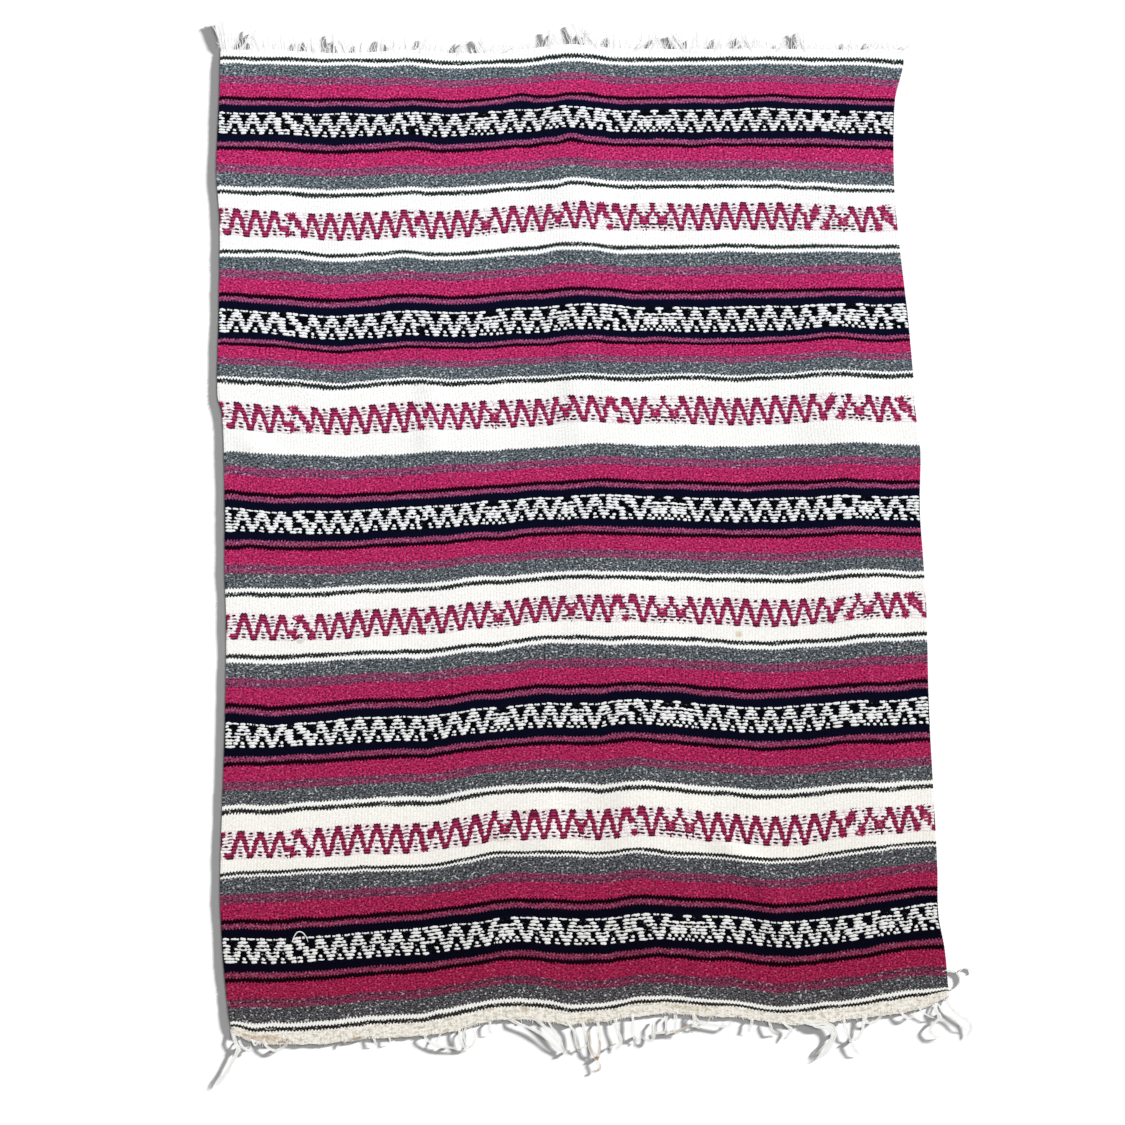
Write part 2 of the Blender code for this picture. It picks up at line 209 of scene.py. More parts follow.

# %% [markdown]
# ## How the wefts settled
# The weaver beat some wefts down harder than others, so on top of the solid's broad curves each line
# of the cloth has small rises and dips of its own. They are charted here in whole millimetres below the
# broad curve, at seventeen places from the left selvedge to the right: for each band the thin line
# above it, its upper edge and its lower edge. The last row is the line below the last band.
# Where a pick was pulled tight the lines kink within a few ends, so those puckers have their own table.

# %% Small rises and dips of the wefts
ENDS = 220
Settled = namedtuple("Settled", "line top bottom")
SETTLED = [
    Settled(line=(-2, 1, -2, -4, 2, 4, 2, 6, 6, 5, 6, 3, 3, 2, 3, 3, 9),
            top=(1, 3, 0, -5, 2, 1, -4, -4, -1, 1, 0, -3, -3, -6, -2, 0, 0),
            bottom=(0, 2, 1, 0, 1, 3, -1, -1, -1, 2, -1, -1, -1, -2, -1, 1, 2)),
    Settled(line=(2, 5, 3, 2, 5, 6, -1, 0, -3, 1, -1, -2, -3, -1, 3, 7, 8),
            top=(0, 7, 5, 2, 6, 7, 1, 0, 2, 2, -1, -1, -3, -2, 2, 7, 3),
            bottom=(2, 5, 1, 3, 7, 8, 1, -1, 0, 3, -1, -1, -2, -1, 2, 6, 2)),
    Settled(line=(0, -1, -2, -1, 2, 5, 0, 0, -3, 2, 0, -2, -4, -1, 0, 1, -1),
            top=(0, 7, 4, 5, 6, 7, 4, 3, 4, 5, 5, 5, 4, 3, 5, 4, 1),
            bottom=(-2, 0, 0, 2, 6, 6, 4, 5, 5, 5, 3, 5, 5, 3, 0, 3, 0)),
    Settled(line=(-10, -6, -11, -8, -4, -4, -6, -5, -3, -1, -5, -7, -4, -6, -8, -5, -8),
            top=(0, 8, 2, 3, 6, 7, 2, 4, 4, 6, 2, 1, 5, 0, 1, 6, 3),
            bottom=(-1, 5, -1, 2, 9, 3, 2, 3, 2, 3, 0, 1, 3, 0, -1, 1, 0)),
    Settled(line=(-4, 0, -5, 0, 6, -1, 0, -1, 2, -1, -1, -2, -2, -4, -1, -1, 0),
            top=(1, 8, 2, 3, 7, 4, -2, -3, 1, -2, -2, -2, 0, -3, 0, 2, 1),
            bottom=(0, 0, -2, 0, 2, 1, -4, -6, -2, -2, -3, -3, -3, -3, -1, 1, 2)),
    Settled(line=(2, 3, -1, -1, 2, 2, -5, -4, -2, 0, -1, -3, -3, 0, 0, -1, 3),
            top=(2, 6, 3, -1, 2, 3, -2, -3, 0, 0, 1, -1, 1, 4, 4, 1, 1),
            bottom=(0, 2, 0, 0, 1, 3, -1, -3, -3, 3, 2, 0, 3, 3, 4, 1, 1)),
    Settled(line=(-5, -2, -7, -7, -2, 0, -4, -8, -8, -1, -4, -6, -1, -2, 0, -3, -5),
            top=(0, 8, 3, -1, 0, 4, -1, -1, -3, 0, -3, -2, 2, -1, 0, 2, -2),
            bottom=(0, 0, -4, -4, -3, -1, -4, -4, -7, -6, -5, -4, -1, -2, -3, -1, -1)),
    Settled(line=(0, 1, -5, -5, -4, 1, -6, -3, -11, -3, -2, -1, 1, -1, -2, 3, 1),
            top=(2, 4, -2, -3, 0, 2, -4, 0, -8, -3, -3, 1, 4, 1, -2, 2, 1),
            bottom=(2, 0, -1, -1, 3, 2, 0, 2, -6, 0, 1, 4, 6, 4, -1, 1, 0)),
    Settled(line=(-4, -8, -12, -10, -6, -5, -11, -7, -14, -9, -3, -5, -1, -5, -7, -11, -9),
            top=(1, 4, 0, 1, 1, -1, 5, 6, -3, 2, 4, 2, 4, 3, 3, 1, -2),
            bottom=(-3, -1, -4, -2, -2, -2, 2, 2, -5, 1, 1, 1, 2, 1, -1, -3, -3)),
    Settled(line=(8, 4, 3, 2, 3, -1, 4, 1, 2, 1, 5, 6, 9, -1, 3, -1, 8), top=None, bottom=None),
]
LINE_SHARE = 0.742  # the thin line's share of the way from a black band to a pink one

# A pucker for each row: its end and millimetres down, how many ends and how many millimetres it
# reaches to each side, and how many millimetres low the weft lies in its middle.
Pucker = namedtuple("Pucker", "end down ends reach low")
PUCKERS = [
    Pucker(98, 88, 6, 30, -5), Pucker(109, 88, 5, 30, 4), Pucker(110, 172, 4, 22, 3),
    Pucker(116, 172, 4, 22, -4), Pucker(110, 250, 5, 26, 4),
]


# %% Reading the chart of rises and dips
def settled_rows():
    """The charted rows from the top of the cloth to the bottom: metres down, and metres low."""
    places = len(SETTLED[0].line)
    downs, lows = [0.0], [(0,) * places]
    for number, row in enumerate(SETTLED):
        above, below = EDGES_MM[2 * number], EDGES_MM[2 * number + 1]
        share = LINE_SHARE if number % 2 else 1 - LINE_SHARE
        downs.append(above + (below - above) * share)
        lows.append(row.line)
        if row.top:
            downs += [below, EDGES_MM[2 * number + 2]]
            lows += [row.top, row.bottom]
    downs.append(CLOTH_LENGTH / MM)
    lows.append((0,) * places)
    return np.array(downs) * MM, np.array(lows) * MM


SETTLED_DOWN, SETTLED_LOW = settled_rows()


def settled(share, down):
    """How many metres lower than the broad curve a weft lies, at these shares across and metres down."""
    share, down = np.broadcast_arrays(share, down)
    last = SETTLED_LOW.shape[1] - 1
    across = np.clip(share, 0, 1) * last
    i = np.minimum(across.astype(int), last - 1)
    t = ease(across - i)
    j = np.clip(np.searchsorted(SETTLED_DOWN, down, side="right") - 1, 0, len(SETTLED_DOWN) - 2)
    s = np.clip((down - SETTLED_DOWN[j]) / (SETTLED_DOWN[j + 1] - SETTLED_DOWN[j]), 0, 1)
    above = SETTLED_LOW[j, i] * (1 - t) + SETTLED_LOW[j, i + 1] * t
    below = SETTLED_LOW[j + 1, i] * (1 - t) + SETTLED_LOW[j + 1, i + 1] * t
    low = above * (1 - s) + below * s
    for pucker in PUCKERS:
        aside = hill((share * ENDS - pucker.end) / pucker.ends)
        low = low + pucker.low * MM * aside * hill((down / MM - pucker.down) / pucker.reach)
    return low


print(len(SETTLED_DOWN), "wefts charted; the lowest lies", round(float(SETTLED_LOW.max() / MM)), "mm low")

# %% [markdown]
# ## The ends and picks of the weave
# Each warp end makes one rib down the cloth, and 220 of them make the whole width. Any place in the
# weave is named by its end, counted from the left selvedge, and by how far down it was woven. Small
# waves are added to the folds here, because handwoven wool never lies as smooth as a table of numbers.

# %% A frame on the cloth at any end and any distance down
RIPPLE_HEIGHT, RIPPLE_SIZE = 0.7 * MM, 55 * MM
WANDER, WANDER_SIZE = 1.2 * MM, 38 * MM
RAGGED, RAGGED_REACH = 2.4 * MM, 30 * MM
RAGGED_SIZE, FRAYED_SIZE, FRAYED = 21 * MM, 8 * MM, 0.6
CALM_REACH = 40 * MM  # how near the woven ends the small waves die away


def soft_noise(x, y, size, layer):
    """Smooth noise from about -1 to 1 at these places, the same on each run."""
    flat = np.stack([np.ravel(x) / size, np.ravel(y) / size], axis=-1)
    values = [noise.noise(Vector((a, b, layer))) for a, b in flat]
    return np.array(values).reshape(np.shape(x)) * 1.4


def on_cloth(end, down, small=True):
    """Places of the cloth's underside in the solid's frame, by end number and metres down."""
    end, down = np.broadcast_arrays(np.asarray(end, float), np.asarray(down, float))
    place = underside(end / ENDS, down + settled(end / ENDS, down)) - CENTRE
    if small:
        inside = ease(np.minimum(down, CLOTH_LENGTH - down) / CALM_REACH)
        ripple = 0.5 + 0.5 * soft_noise(place[..., 0], down, RIPPLE_SIZE, 3.1)
        place[..., 2] += RIPPLE_HEIGHT * np.clip(ripple, 0, 1) * inside
        place[..., 1] += WANDER * soft_noise(place[..., 0], down, WANDER_SIZE, 8.4) * inside
        ragged = soft_noise(place[..., 0], down, RAGGED_SIZE, 2.6)
        ragged = ragged + FRAYED * soft_noise(place[..., 0], down, FRAYED_SIZE, 4.4)
        place[..., 1] += RAGGED * ragged * ease(1 - (CLOTH_LENGTH - down) / RAGGED_REACH)
    return place


def cloth_frame(end, down, small=True):
    """Place, direction across, direction down and upward normal of the cloth, as unit vectors."""
    place = on_cloth(end, down, small)
    across = on_cloth(end + 0.5, down, False) - on_cloth(end - 0.5, down, False)
    downward = on_cloth(end, down + 3 * MM, False) - on_cloth(end, down - 3 * MM, False)
    across /= np.linalg.norm(across, axis=-1, keepdims=True)
    downward /= np.linalg.norm(downward, axis=-1, keepdims=True)
    up = np.cross(downward, across)
    up /= np.linalg.norm(up, axis=-1, keepdims=True)
    return place, across, downward, up


END_PITCH = float(np.linalg.norm(on_cloth(111, 0.9) - on_cloth(110, 0.9)))
print(f"an end is {END_PITCH / MM:.2f} mm wide")

# %% [markdown]
# ## The zigzag's columns
# In a zigzag band the weft floats over several ends at a time, in a point draft: the threading runs
# forward and back, and each turning point is the middle of a white hat. Here and there the weaver
# threaded one end wrongly, so a few hats stand five ends apart instead of six, and a few bands of
# columns break the pattern. Those faults repeat in every band, because the warp is the same.

# %% The turning points of the threading
HATS = [-1, *range(5, 108, 6), 112, 118, 124, 129, 135, 141, 147, 153, 159, 165, 171, 177, 183, 189,
        195, 200, 206, 212, 217, 223]


def from_hat(end):
    """How many ends each of these places lies from its nearest turning point."""
    return np.min(np.abs(np.asarray(end, float)[..., None] - np.array(HATS)), axis=-1)


print(len(HATS), "turning points")

# %% One repeat of each kind of band
# Each row of a repeat gives what lies on the half ends from a turning point to half way to the next.
# w is a white float, t a thinner white one, k a black one and p a pink one.
BLACK_REPEAT = ["wwtttt", "wwwkkk", "wwwwkk", "wwwttk", "kkwwtt", "kkwwww", "wkkwww", "ttkkww"]
PINK_REPEAT = ["ppwwww", "ppwwww", "pppwww", "wpppww", "wwppww", "wwpppw", "wwwppw", "wwwwpp", "wwwwpp"]

# Here and there the dark yarn behind the rows peeps out as a short dash. Each entry says how many rows
# down it lies, how many ends from the turning point, how many ends long and how many rows tall it is
# to each side of its middle, and how often it shows. Flat dashes in a pink band are a duller rose.
Dash = namedtuple("Dash", "row away reach half often")
FLAT_DASH = 0.3
DASHES = {
    "black": [Dash(3, 0, 0.62, 0.42, 1), Dash(4, 3, 0.6, 0.42, 1), Dash(5, 3, 0.55, 0.42, 1)],
    "pink": [Dash(0.65, 3, 0.55, 0.40, 1), Dash(1.7, 3, 0.8, 0.24, 0.9), Dash(2.7, 3, 0.8, 0.24, 0.9),
             Dash(3.7, 3, 0.7, 0.24, 0.8), Dash(5.1, 0, 0.7, 0.24, 0.8), Dash(6.1, 0, 0.6, 0.22, 0.5),
             Dash(7.0, 0, 0.7, 0.34, 1), Dash(8.1, 0, 0.7, 0.32, 1), Dash(0.25, 0, 1.1, 0.31, 1),
             Dash(8.75, 3, 1.1, 0.31, 1)],
}

print(len(BLACK_REPEAT), "rows in a black band and", len(PINK_REPEAT), "in a pink one")

# %% The faults in the threading
# A threading fault for each row: its first end, then what it shows on each end in each row of the
# black bands, and in each row of the pink ones. x is white with a dark dash above it.
Fault = namedtuple("Fault", "first black pink")
WIDE_FIVE = (["wkkkw", "kkkkk", "wwwww", "xxwxx", "wwwww", "wwwww", "kwkwk", "wkwkw"],
             ["wwwww", "wwwww", "wwwww", "pxwxp", "wpppw", "wpppw", "wpppw", "xwxwx", "wxwxw"])
WIDE_FOUR = (["wkkw", "kkkk", "wwww", "xwxx", "wwww", "wwww", "kwkw", "wkwk"],
             ["wwww", "wwww", "wwww", "pxxp", "pppp", "wppw", "wppw", "xwxw", "wxwx"])
FAULTS = [
    Fault(0, ["ww", "wk", "ww", "xw", "ww", "wx", "ww", "ww"],
          ["pw", "pw", "ww", "ww", "ww", "wx", "ww", "wp", "wp"]),
    Fault(19, ["kkwwwwttt", "kkwwwkkkk", "wwkwwwkkk", "wwkxwwwkk", "wwkkkwwww", "wwkkkwwxw", "wwwwwkwww",
               "kwwxwkwww"],
          ["wwpppwwww", "wwpppwwww", "wwwpppwww", "wxwxwppww", "wwwxwppww", "pppwwwppw", "pppwwwwpp",
           "wwppxwwpp", "xwpxxwwpp"]),
    Fault(61, ["wwww", "kwxw", "kkww", "wkww", "wxxw", "wkkk", "wkkk", "wwkk"],
          ["wwww", "xxww", "wwpp", "pwpp", "pwpp", "pwxw", "pwww", "ppww", "ppww"]),
    Fault(84, *WIDE_FIVE),
    Fault(108, *WIDE_FOUR),
    Fault(122, ["wwwwwww", "wwwxwxw", "wwwwkkw", "wxwwkkk", "wwwwwwk", "wkkkwwk", "wkwkwwk", "kwwkwwx"],
          ["wpppwwp", "wpppxwp", "wpppwwp", "ppwppww", "pwwppww", "pwwwwxw", "pwwwwxw", "wwwwppw",
           "wwwwppx"]),
    Fault(136, *WIDE_FIVE),
    Fault(142, *WIDE_FIVE),
    Fault(190, ["wwwwwwwwww", "kkkwwwkkkw", "wkkwwwkkkw", "wkkwwwwkkw", "wwwwwwwwww", "wwxwxwxwww",
                "kwwwkkwwww", "kwwwkkwwwk"],
          ["wwwwwwwwww", "wwwwppxwxw", "wwwpppwwww", "ppwpppwwwp", "wpwppwwwwp", "wpwpxxwxpw",
           "wppwwwwppw", "wppwwwpppw", "wppwwwpppw"]),
    Fault(201, *WIDE_FIVE),
    Fault(214, ["wwwwww", "kkwxwx", "kkwwww", "wkwwww", "wwwxww", "wkkwwx", "wwkkkw", "wwkwkw"],
          ["wppwww", "wppwxw", "wwppww", "wwpppw", "pwpppw", "pwwppw", "ppwwpw", "ppwwwp", "ppwwwp"]),
]


# %% Draw each band's chart
def draft(repeat, kind):
    """The band's chart, one string for each row with a letter for each half end, faults and all."""
    away = (from_hat(np.arange(2 * ENDS) / 2 - 0.25) * 2).astype(int)
    rows = []
    for number, row in enumerate(repeat):
        cells = [row[min(a, 5)] for a in away]
        for fault in FAULTS:
            patch = "".join(letter * 2 for letter in getattr(fault, kind)[number])
            cells[2 * fault.first:2 * fault.first + len(patch)] = patch
        rows.append("".join(cells))
    return rows


CHARTS = {"black": draft(BLACK_REPEAT, "black"), "pink": draft(PINK_REPEAT, "pink")}
print("part of the black band's draft:")
for row in CHARTS["black"]:
    print("  ", row[30:110])

# %% [markdown]
# ## Columns that lean
# The columns don't run quite straight down the cloth: each band's zigzag lies a little to the left or
# right of its threading. The shifts are charted to the nearest half end at nine places across.

# %% How far each band's columns slipped
SLIPPED = [
    (0, -0.5, -1, -0.5, 0, 0.5, 0.5, 0.5, 0), (0, 0.5, 0.5, 0, 0, -0.5, -1, -1, -1),
    (0, 0.5, 1, 0.5, 0, -0.5, -1.5, -1.5, -1), (0, 0.5, 1, 0, -1, -1, -1.5, -1.5, -1),
    (0, 0.5, 0, -1.5, -1.5, -1, -0.5, -0.5, 0), (0, 0, -0.5, -1, -1.5, -1.5, -2, -2, -1.5),
    (0, 0.5, 0.5, 0, 0, 0, -1, -1, 0), (0.5, 0.5, 0.5, 1, 1, 0, -0.5, -0.5, -0.5),
    (1, 0.5, 0, 0.5, 1, 1.5, 2, 1, 0),
]
EDGE_ENDS = 5


def slipped(number, end):
    """How many ends to the right this band's columns lie at these ends; nothing at the selvedges."""
    fade = ease(np.minimum(end, ENDS - end) / EDGE_ENDS)
    return along_table(SLIPPED[number], np.asarray(end, float) / ENDS) * fade


print("slips of", min(map(min, SLIPPED)), "to", max(map(max, SLIPPED)), "ends")

# %% [markdown]
# ## Small tools for materials
# A material in Blender is a graph of nodes. These few helpers place a node and join it in one line,
# so each finish below reads as a recipe. A dye is given as the colour seen in daylight and turned
# into the cloth's own reflectance, which is a little darker than it looks under a bright lamp.

# %% Dyes and single nodes
LAMP = 1.16


def dye(code, lamp=LAMP):
    """The reflectance of yarn that looks like this colour, written as six hex digits, under the lamps."""
    channels = [int(code[i:i + 2], 16) / 255 for i in (0, 2, 4)]
    linear = [c / 12.92 if c <= 0.04045 else ((c + 0.055) / 1.055) ** 2.4 for c in channels]
    return tuple(min(c / lamp, 0.93) for c in linear) + (1.0,)


def join(tree, socket, value):
    """The socket linked to another node's output, or set to a plain value."""
    if isinstance(value, bpy.types.NodeSocket):
        tree.links.new(value, socket)
    else:
        socket.default_value = value


def add(tree, kind, inputs=(), **settings):
    """A node of this kind with its settings and its inputs, which are given by name or by number."""
    made = tree.nodes.new("ShaderNode" + kind)
    for name, value in settings.items():
        setattr(made, name, value)
    for name, value in dict(inputs).items():
        join(tree, made.inputs[name], value)
    return made


def maths(tree, operation, *values):
    """The output of a Math node."""
    return add(tree, "Math", dict(enumerate(values)), operation=operation).outputs[0]


print("white yarn reflects", np.round(dye("fcfdfd")[:3], 2))


# %% Sums and mixtures
def plus(tree, first, second):
    """The sum of two values."""
    return maths(tree, "ADD", first, second)


def minus(tree, first, second):
    """The first value less the second."""
    return maths(tree, "SUBTRACT", first, second)


def times(tree, first, second):
    """The product of two values."""
    return maths(tree, "MULTIPLY", first, second)


def over(tree, first, second):
    """The first value divided by the second."""
    return maths(tree, "DIVIDE", first, second)


def blended(tree, share, first, second, how="MIX"):
    """Two colours mixed by the share."""
    inputs = {0: share, 6: first, 7: second}
    return add(tree, "Mix", inputs, data_type="RGBA", blend_type=how).outputs[2]


def between(tree, low, value, high):
    """1 where the value lies between the two limits, else 0."""
    above = maths(tree, "GREATER_THAN", value, low)
    return times(tree, above, maths(tree, "LESS_THAN", value, high))


# %% Maps, groups and finishes
def two_numbers(tree, map_name):
    """The two numbers of a UV map, which here carries places in the weave."""
    uv = add(tree, "UVMap", uv_map=map_name).outputs[0]
    parts = add(tree, "SeparateXYZ", {0: uv})
    return parts.outputs[0], parts.outputs[1]


def new_group(name, inputs, outputs):
    """An empty node group with these sockets, and its own input and output nodes."""
    group = bpy.data.node_groups.new(name, "ShaderNodeTree")
    for label, kind, value in inputs:
        socket = group.interface.new_socket(name=label, in_out="INPUT", socket_type="NodeSocket" + kind)
        socket.default_value = value
    for label, kind in outputs:
        group.interface.new_socket(name=label, in_out="OUTPUT", socket_type="NodeSocket" + kind)
    return group, group.nodes.new("NodeGroupInput").outputs, group.nodes.new("NodeGroupOutput").inputs


def use_group(tree, group, inputs):
    """The group placed in a material with its own values; gives its outputs."""
    made = tree.nodes.new("ShaderNodeGroup")
    made.node_tree = group
    for name, value in inputs.items():
        join(tree, made.inputs[name], value)
    return made.outputs


SHINE, SHEEN_ROUGHNESS = 0.03, 0.6


def new_finish(name, roughness, sheen=0.0):
    """A new matt material with its node tree and its surface shader."""
    material = bpy.data.materials.new(name)
    material.use_nodes = True
    shader = material.node_tree.nodes["Principled BSDF"]
    shader.inputs["Roughness"].default_value = roughness
    shader.inputs["Specular IOR Level"].default_value = SHINE
    shader.inputs["Sheen Weight"].default_value = sheen
    shader.inputs["Sheen Roughness"].default_value = SHEEN_ROUGHNESS
    return material, material.node_tree, shader


def grey(tree, value):
    """A colour with this value in each channel."""
    return add(tree, "CombineColor", {0: value, 1: value, 2: value}).outputs[0]


def relief(tree, shader, height, depth, strength=1.0):
    """The height, in units of the depth in metres, felt by the shader as small relief."""
    bump = add(tree, "Bump", {"Height": height, "Distance": depth, "Strength": strength})
    tree.links.new(bump.outputs[0], shader.inputs["Normal"])


print("every finish is matt, with a shine of", SHINE)

# %% [markdown]
# ## The weave as a shared effect
# Looked at closely, weft-faced cloth is a brick wall of small rounded bumps: each is one pick passing
# over one end, and the next end's bumps lie half a step lower. The group below makes that wall once.
# It puts out the bump's height, the zigzag that makes the edge of every stripe look like saw teeth,
# and three kinds of unevenness in the spun wool: a fine mottle, light flecks and dark flecks.

# %% Weave group
PICK = 2.8  # millimetres from one pick to the next
TOOTH, DRIFTS, FRAYS = 1.3, 3.6, 3.4  # how many millimetres a stripe's edge steps, drifts and frays

weave_group, given, result = new_group(
    "weft_faced_weave",
    [("Ends", "Float", 0.0), ("Along mm", "Float", 0.0), ("Down mm", "Float", 0.0),
     ("Pick mm", "Float", PICK)],
    [("Height", "Float"), ("Tooth mm", "Float"), ("Mottle", "Float"), ("Light", "Float"), ("Dark", "Float")],
)
t = weave_group
end_number = maths(t, "FLOOR", given["Ends"])
parity = maths(t, "MODULO", end_number, 2.0)
picks = plus(t, over(t, given["Down mm"], given["Pick mm"]), times(t, parity, 0.5))
over_end = maths(t, "ABSOLUTE", minus(t, maths(t, "FRACT", given["Ends"]), 0.5))
over_pick = maths(t, "ABSOLUTE", minus(t, maths(t, "FRACT", picks), 0.5))
round_end = minus(t, 1.0, times(t, maths(t, "POWER", over_end, 2.0), 3.4))
round_pick = minus(t, 1.0, times(t, maths(t, "POWER", over_pick, 2.0), 3.0))


def wool_noise(tree, along, down, layer, scale, detail):
    """Fine noise over the cloth, drawn out a little along the weft."""
    spot = add(tree, "CombineXYZ", {0: times(tree, along, 0.75), 1: down, 2: layer})
    return add(tree, "TexNoise", {"Vector": spot.outputs[0], "Scale": scale, "Detail": detail,
                                  "Roughness": 0.65}).outputs[0]


def above_limit(tree, value, limit, soft):
    """A soft mask of where the value passes the limit."""
    inputs = {"Value": value, "From Min": limit, "From Max": limit + soft, "To Min": 0.0, "To Max": 1.0}
    return add(tree, "MapRange", inputs, interpolation_type="SMOOTHSTEP").outputs[0]


fibre = wool_noise(t, given["Along mm"], given["Down mm"], 0.0, 0.36, 2.0)
light = wool_noise(t, given["Along mm"], given["Down mm"], 40.0, 0.27, 1.0)
dark = wool_noise(t, given["Along mm"], given["Down mm"], 80.0, 0.27, 1.0)
drift = wool_noise(t, given["Along mm"], given["Down mm"], 120.0, 0.06, 1.0)
height = plus(t, times(t, round_end, 0.5), times(t, round_pick, 0.35))
join(t, result["Height"], plus(t, height, times(t, fibre, 0.45)))
tooth = times(t, maths(t, "COSINE", times(t, given["Ends"], 2 * math.pi)), TOOTH)
uneven = times(t, minus(t, drift, 0.5), DRIFTS)
uneven = plus(t, uneven, times(t, minus(t, fibre, 0.5), FRAYS))
join(t, result["Tooth mm"], plus(t, tooth, uneven))
join(t, result["Mottle"], fibre)
join(t, result["Light"], above_limit(t, light, 0.62, 0.06))
join(t, result["Dark"], above_limit(t, dark, 0.60, 0.07))
print("weave group:", len(t.nodes), "nodes")

# %% [markdown]
# ## Stains as a shared effect
# A blanket that has been on the ground keeps a few small marks. Each is a soft patch with a ragged
# edge: the distance from its middle, roughened by noise, then turned into a mask.

# %% Stain group
stain_group, given, result = new_group(
    "soft_stain",
    [("X", "Float", 0.0), ("Y", "Float", 0.0), ("Middle X", "Float", 0.0), ("Middle Y", "Float", 0.0),
     ("Half width", "Float", 10.0), ("Half height", "Float", 10.0)],
    [("Mask", "Float")],
)
t = stain_group
off_x = over(t, minus(t, given["X"], given["Middle X"]), given["Half width"])
off_y = over(t, minus(t, given["Y"], given["Middle Y"]), given["Half height"])
ragged = add(t, "TexNoise", {"Vector": add(t, "CombineXYZ", {0: given["X"], 1: given["Y"]}).outputs[0],
                             "Scale": 0.12, "Detail": 3.0})
reach = maths(t, "SQRT", plus(t, times(t, off_x, off_x), times(t, off_y, off_y)))
reach = plus(t, reach, times(t, minus(t, ragged.outputs[0], 0.5), 1.6))
mask = add(t, "MapRange", {"Value": reach, "From Min": 1.0, "From Max": 0.2, "To Min": 0.0, "To Max": 1.0},
           interpolation_type="SMOOTHSTEP")
join(t, result["Mask"], mask.outputs[0])
print("stain group:", len(t.nodes), "nodes")

# %% [markdown]
# ## The stripes
# From the edge of a black band the stripes run: dark blue, mauve, a wine black line, bright pink,
# a greyed mix, mauve, heather grey, a white line, a dark line, and the white field in which the pink
# band lies. Colours are warmer and darker towards the last woven end, so each stripe has a dye for
# the top of the cloth and one for the bottom; that darkening is partly the wool's age and partly
# painted shade for light that falls off towards the bottom. Heather yarn is spun from mixed wool,
# which shows as light and dark flecks; the last column says how strongly.

# %% Stripe table
Stripe = namedtuple("Stripe", "start top bottom flecks")
STRIPES = [
    Stripe(0.000, "090d24", "050410", 0.16),
    Stripe(0.100, "954770", "782b44", 0.75),
    Stripe(0.158, "1a0412", "12020a", 0.10),
    Stripe(0.212, "b82b66", "8c1c3e", 0.70),
    Stripe(0.405, "80486a", "58293a", 1.00),
    Stripe(0.455, "93446c", "6e2a42", 0.80),
    Stripe(0.510, "5a646b", "464446", 1.25),
    Stripe(0.690, "fcfdfd", "ecebe6", 0.05),
    Stripe(0.742, "283231", "262523", 1.20),
    Stripe(0.795, "fdfefe", "efebe2", 0.08),
]


def stripe_ramp(tree, place, colours):
    """A colour for each stripe, with hard edges between them."""
    ramp = add(tree, "ValToRGB", {0: place})
    ramp.color_ramp.interpolation = "CONSTANT"
    stops = ramp.color_ramp.elements
    while len(stops) < len(STRIPES):
        stops.new(1.0)
    for stop, stripe, colour in zip(stops, STRIPES, colours):
        stop.position = stripe.start
        stop.color = colour
    return ramp.outputs[0]


# A mark for each row: its middle by end and by millimetres down, half its width and height in
# millimetres, its colour and how strong it is.
Mark = namedtuple("Mark", "end down half_width half_height colour strength")
MARKS = [
    Mark(9, 1762, 62, 9, "c9a26c", 0.55),
    Mark(16, 1769, 16, 6, "8a5f38", 0.70),
    Mark(38, 1770, 20, 5, "9c7350", 0.55),
    Mark(90, 1752, 14, 8, "cdb089", 0.55),
    Mark(110, 1769, 12, 7, "b98a58", 0.60),
    Mark(161, 1066, 10, 10, "dcc68e", 0.60),
    Mark(23, 1052, 9, 8, "dfdcd4", 0.70),
    Mark(88, 1438, 40, 12, "d8cbb0", 0.35),
    Mark(140, 1757, 60, 8, "d6c9a8", 0.40),
]


# %% [markdown]
# ## Finding the stripe
# The stripe place comes from the mesh, and this step turns it into a share of the way from the black
# band to the pink one, which runs upward in every other gap. The teeth of the weave push it to and fro
# first, so that every edge between two colours steps from one end to the next as it does in cloth.

# %% Which stripe a place lies in
GAP_MM, BAND_MM = 132, 48  # about how deep a gap and a band are


def toothed(t, place, tooth):
    """The stripe place, moved by so many millimetres of tooth."""
    in_gap = maths(t, "LESS_THAN", maths(t, "MODULO", maths(t, "FLOOR", place), 2.0), 0.5)
    per_mm = plus(t, times(t, in_gap, 1 / GAP_MM - 1 / BAND_MM), 1 / BAND_MM)
    return plus(t, place, times(t, tooth, per_mm))


def from_black_band(t, number, turn, share):
    """The share of the way through a gap, counted from its black band."""
    turned = maths(t, "LESS_THAN", turn, 0.5)
    way = minus(t, 1.0, times(t, turned, 2.0))
    from_black = plus(t, times(t, share, way), turned)
    # The weaver left the thin lines out of one gap and made the white one thinner in two others.
    no_lines = between(t, 7.5, number, 8.5)
    skip = times(t, no_lines, maths(t, "GREATER_THAN", from_black, 0.69))
    from_black = maths(t, "MAXIMUM", from_black, times(t, skip, 0.8))
    thin = plus(t, between(t, 5.5, number, 6.5), between(t, 15.5, number, 16.5))
    in_line = between(t, 0.68, from_black, 0.715)
    return minus(t, from_black, times(t, times(t, thin, in_line), 0.03))


print("a tooth of", TOOTH, "mm is", round(TOOTH / BAND_MM, 3), "of a band")


# %% The ground under the zigzags
HALF_STROKE, STROKE_RUNS = 0.95, 3.2  # ends a pink stroke is wide to each side, and runs across a band


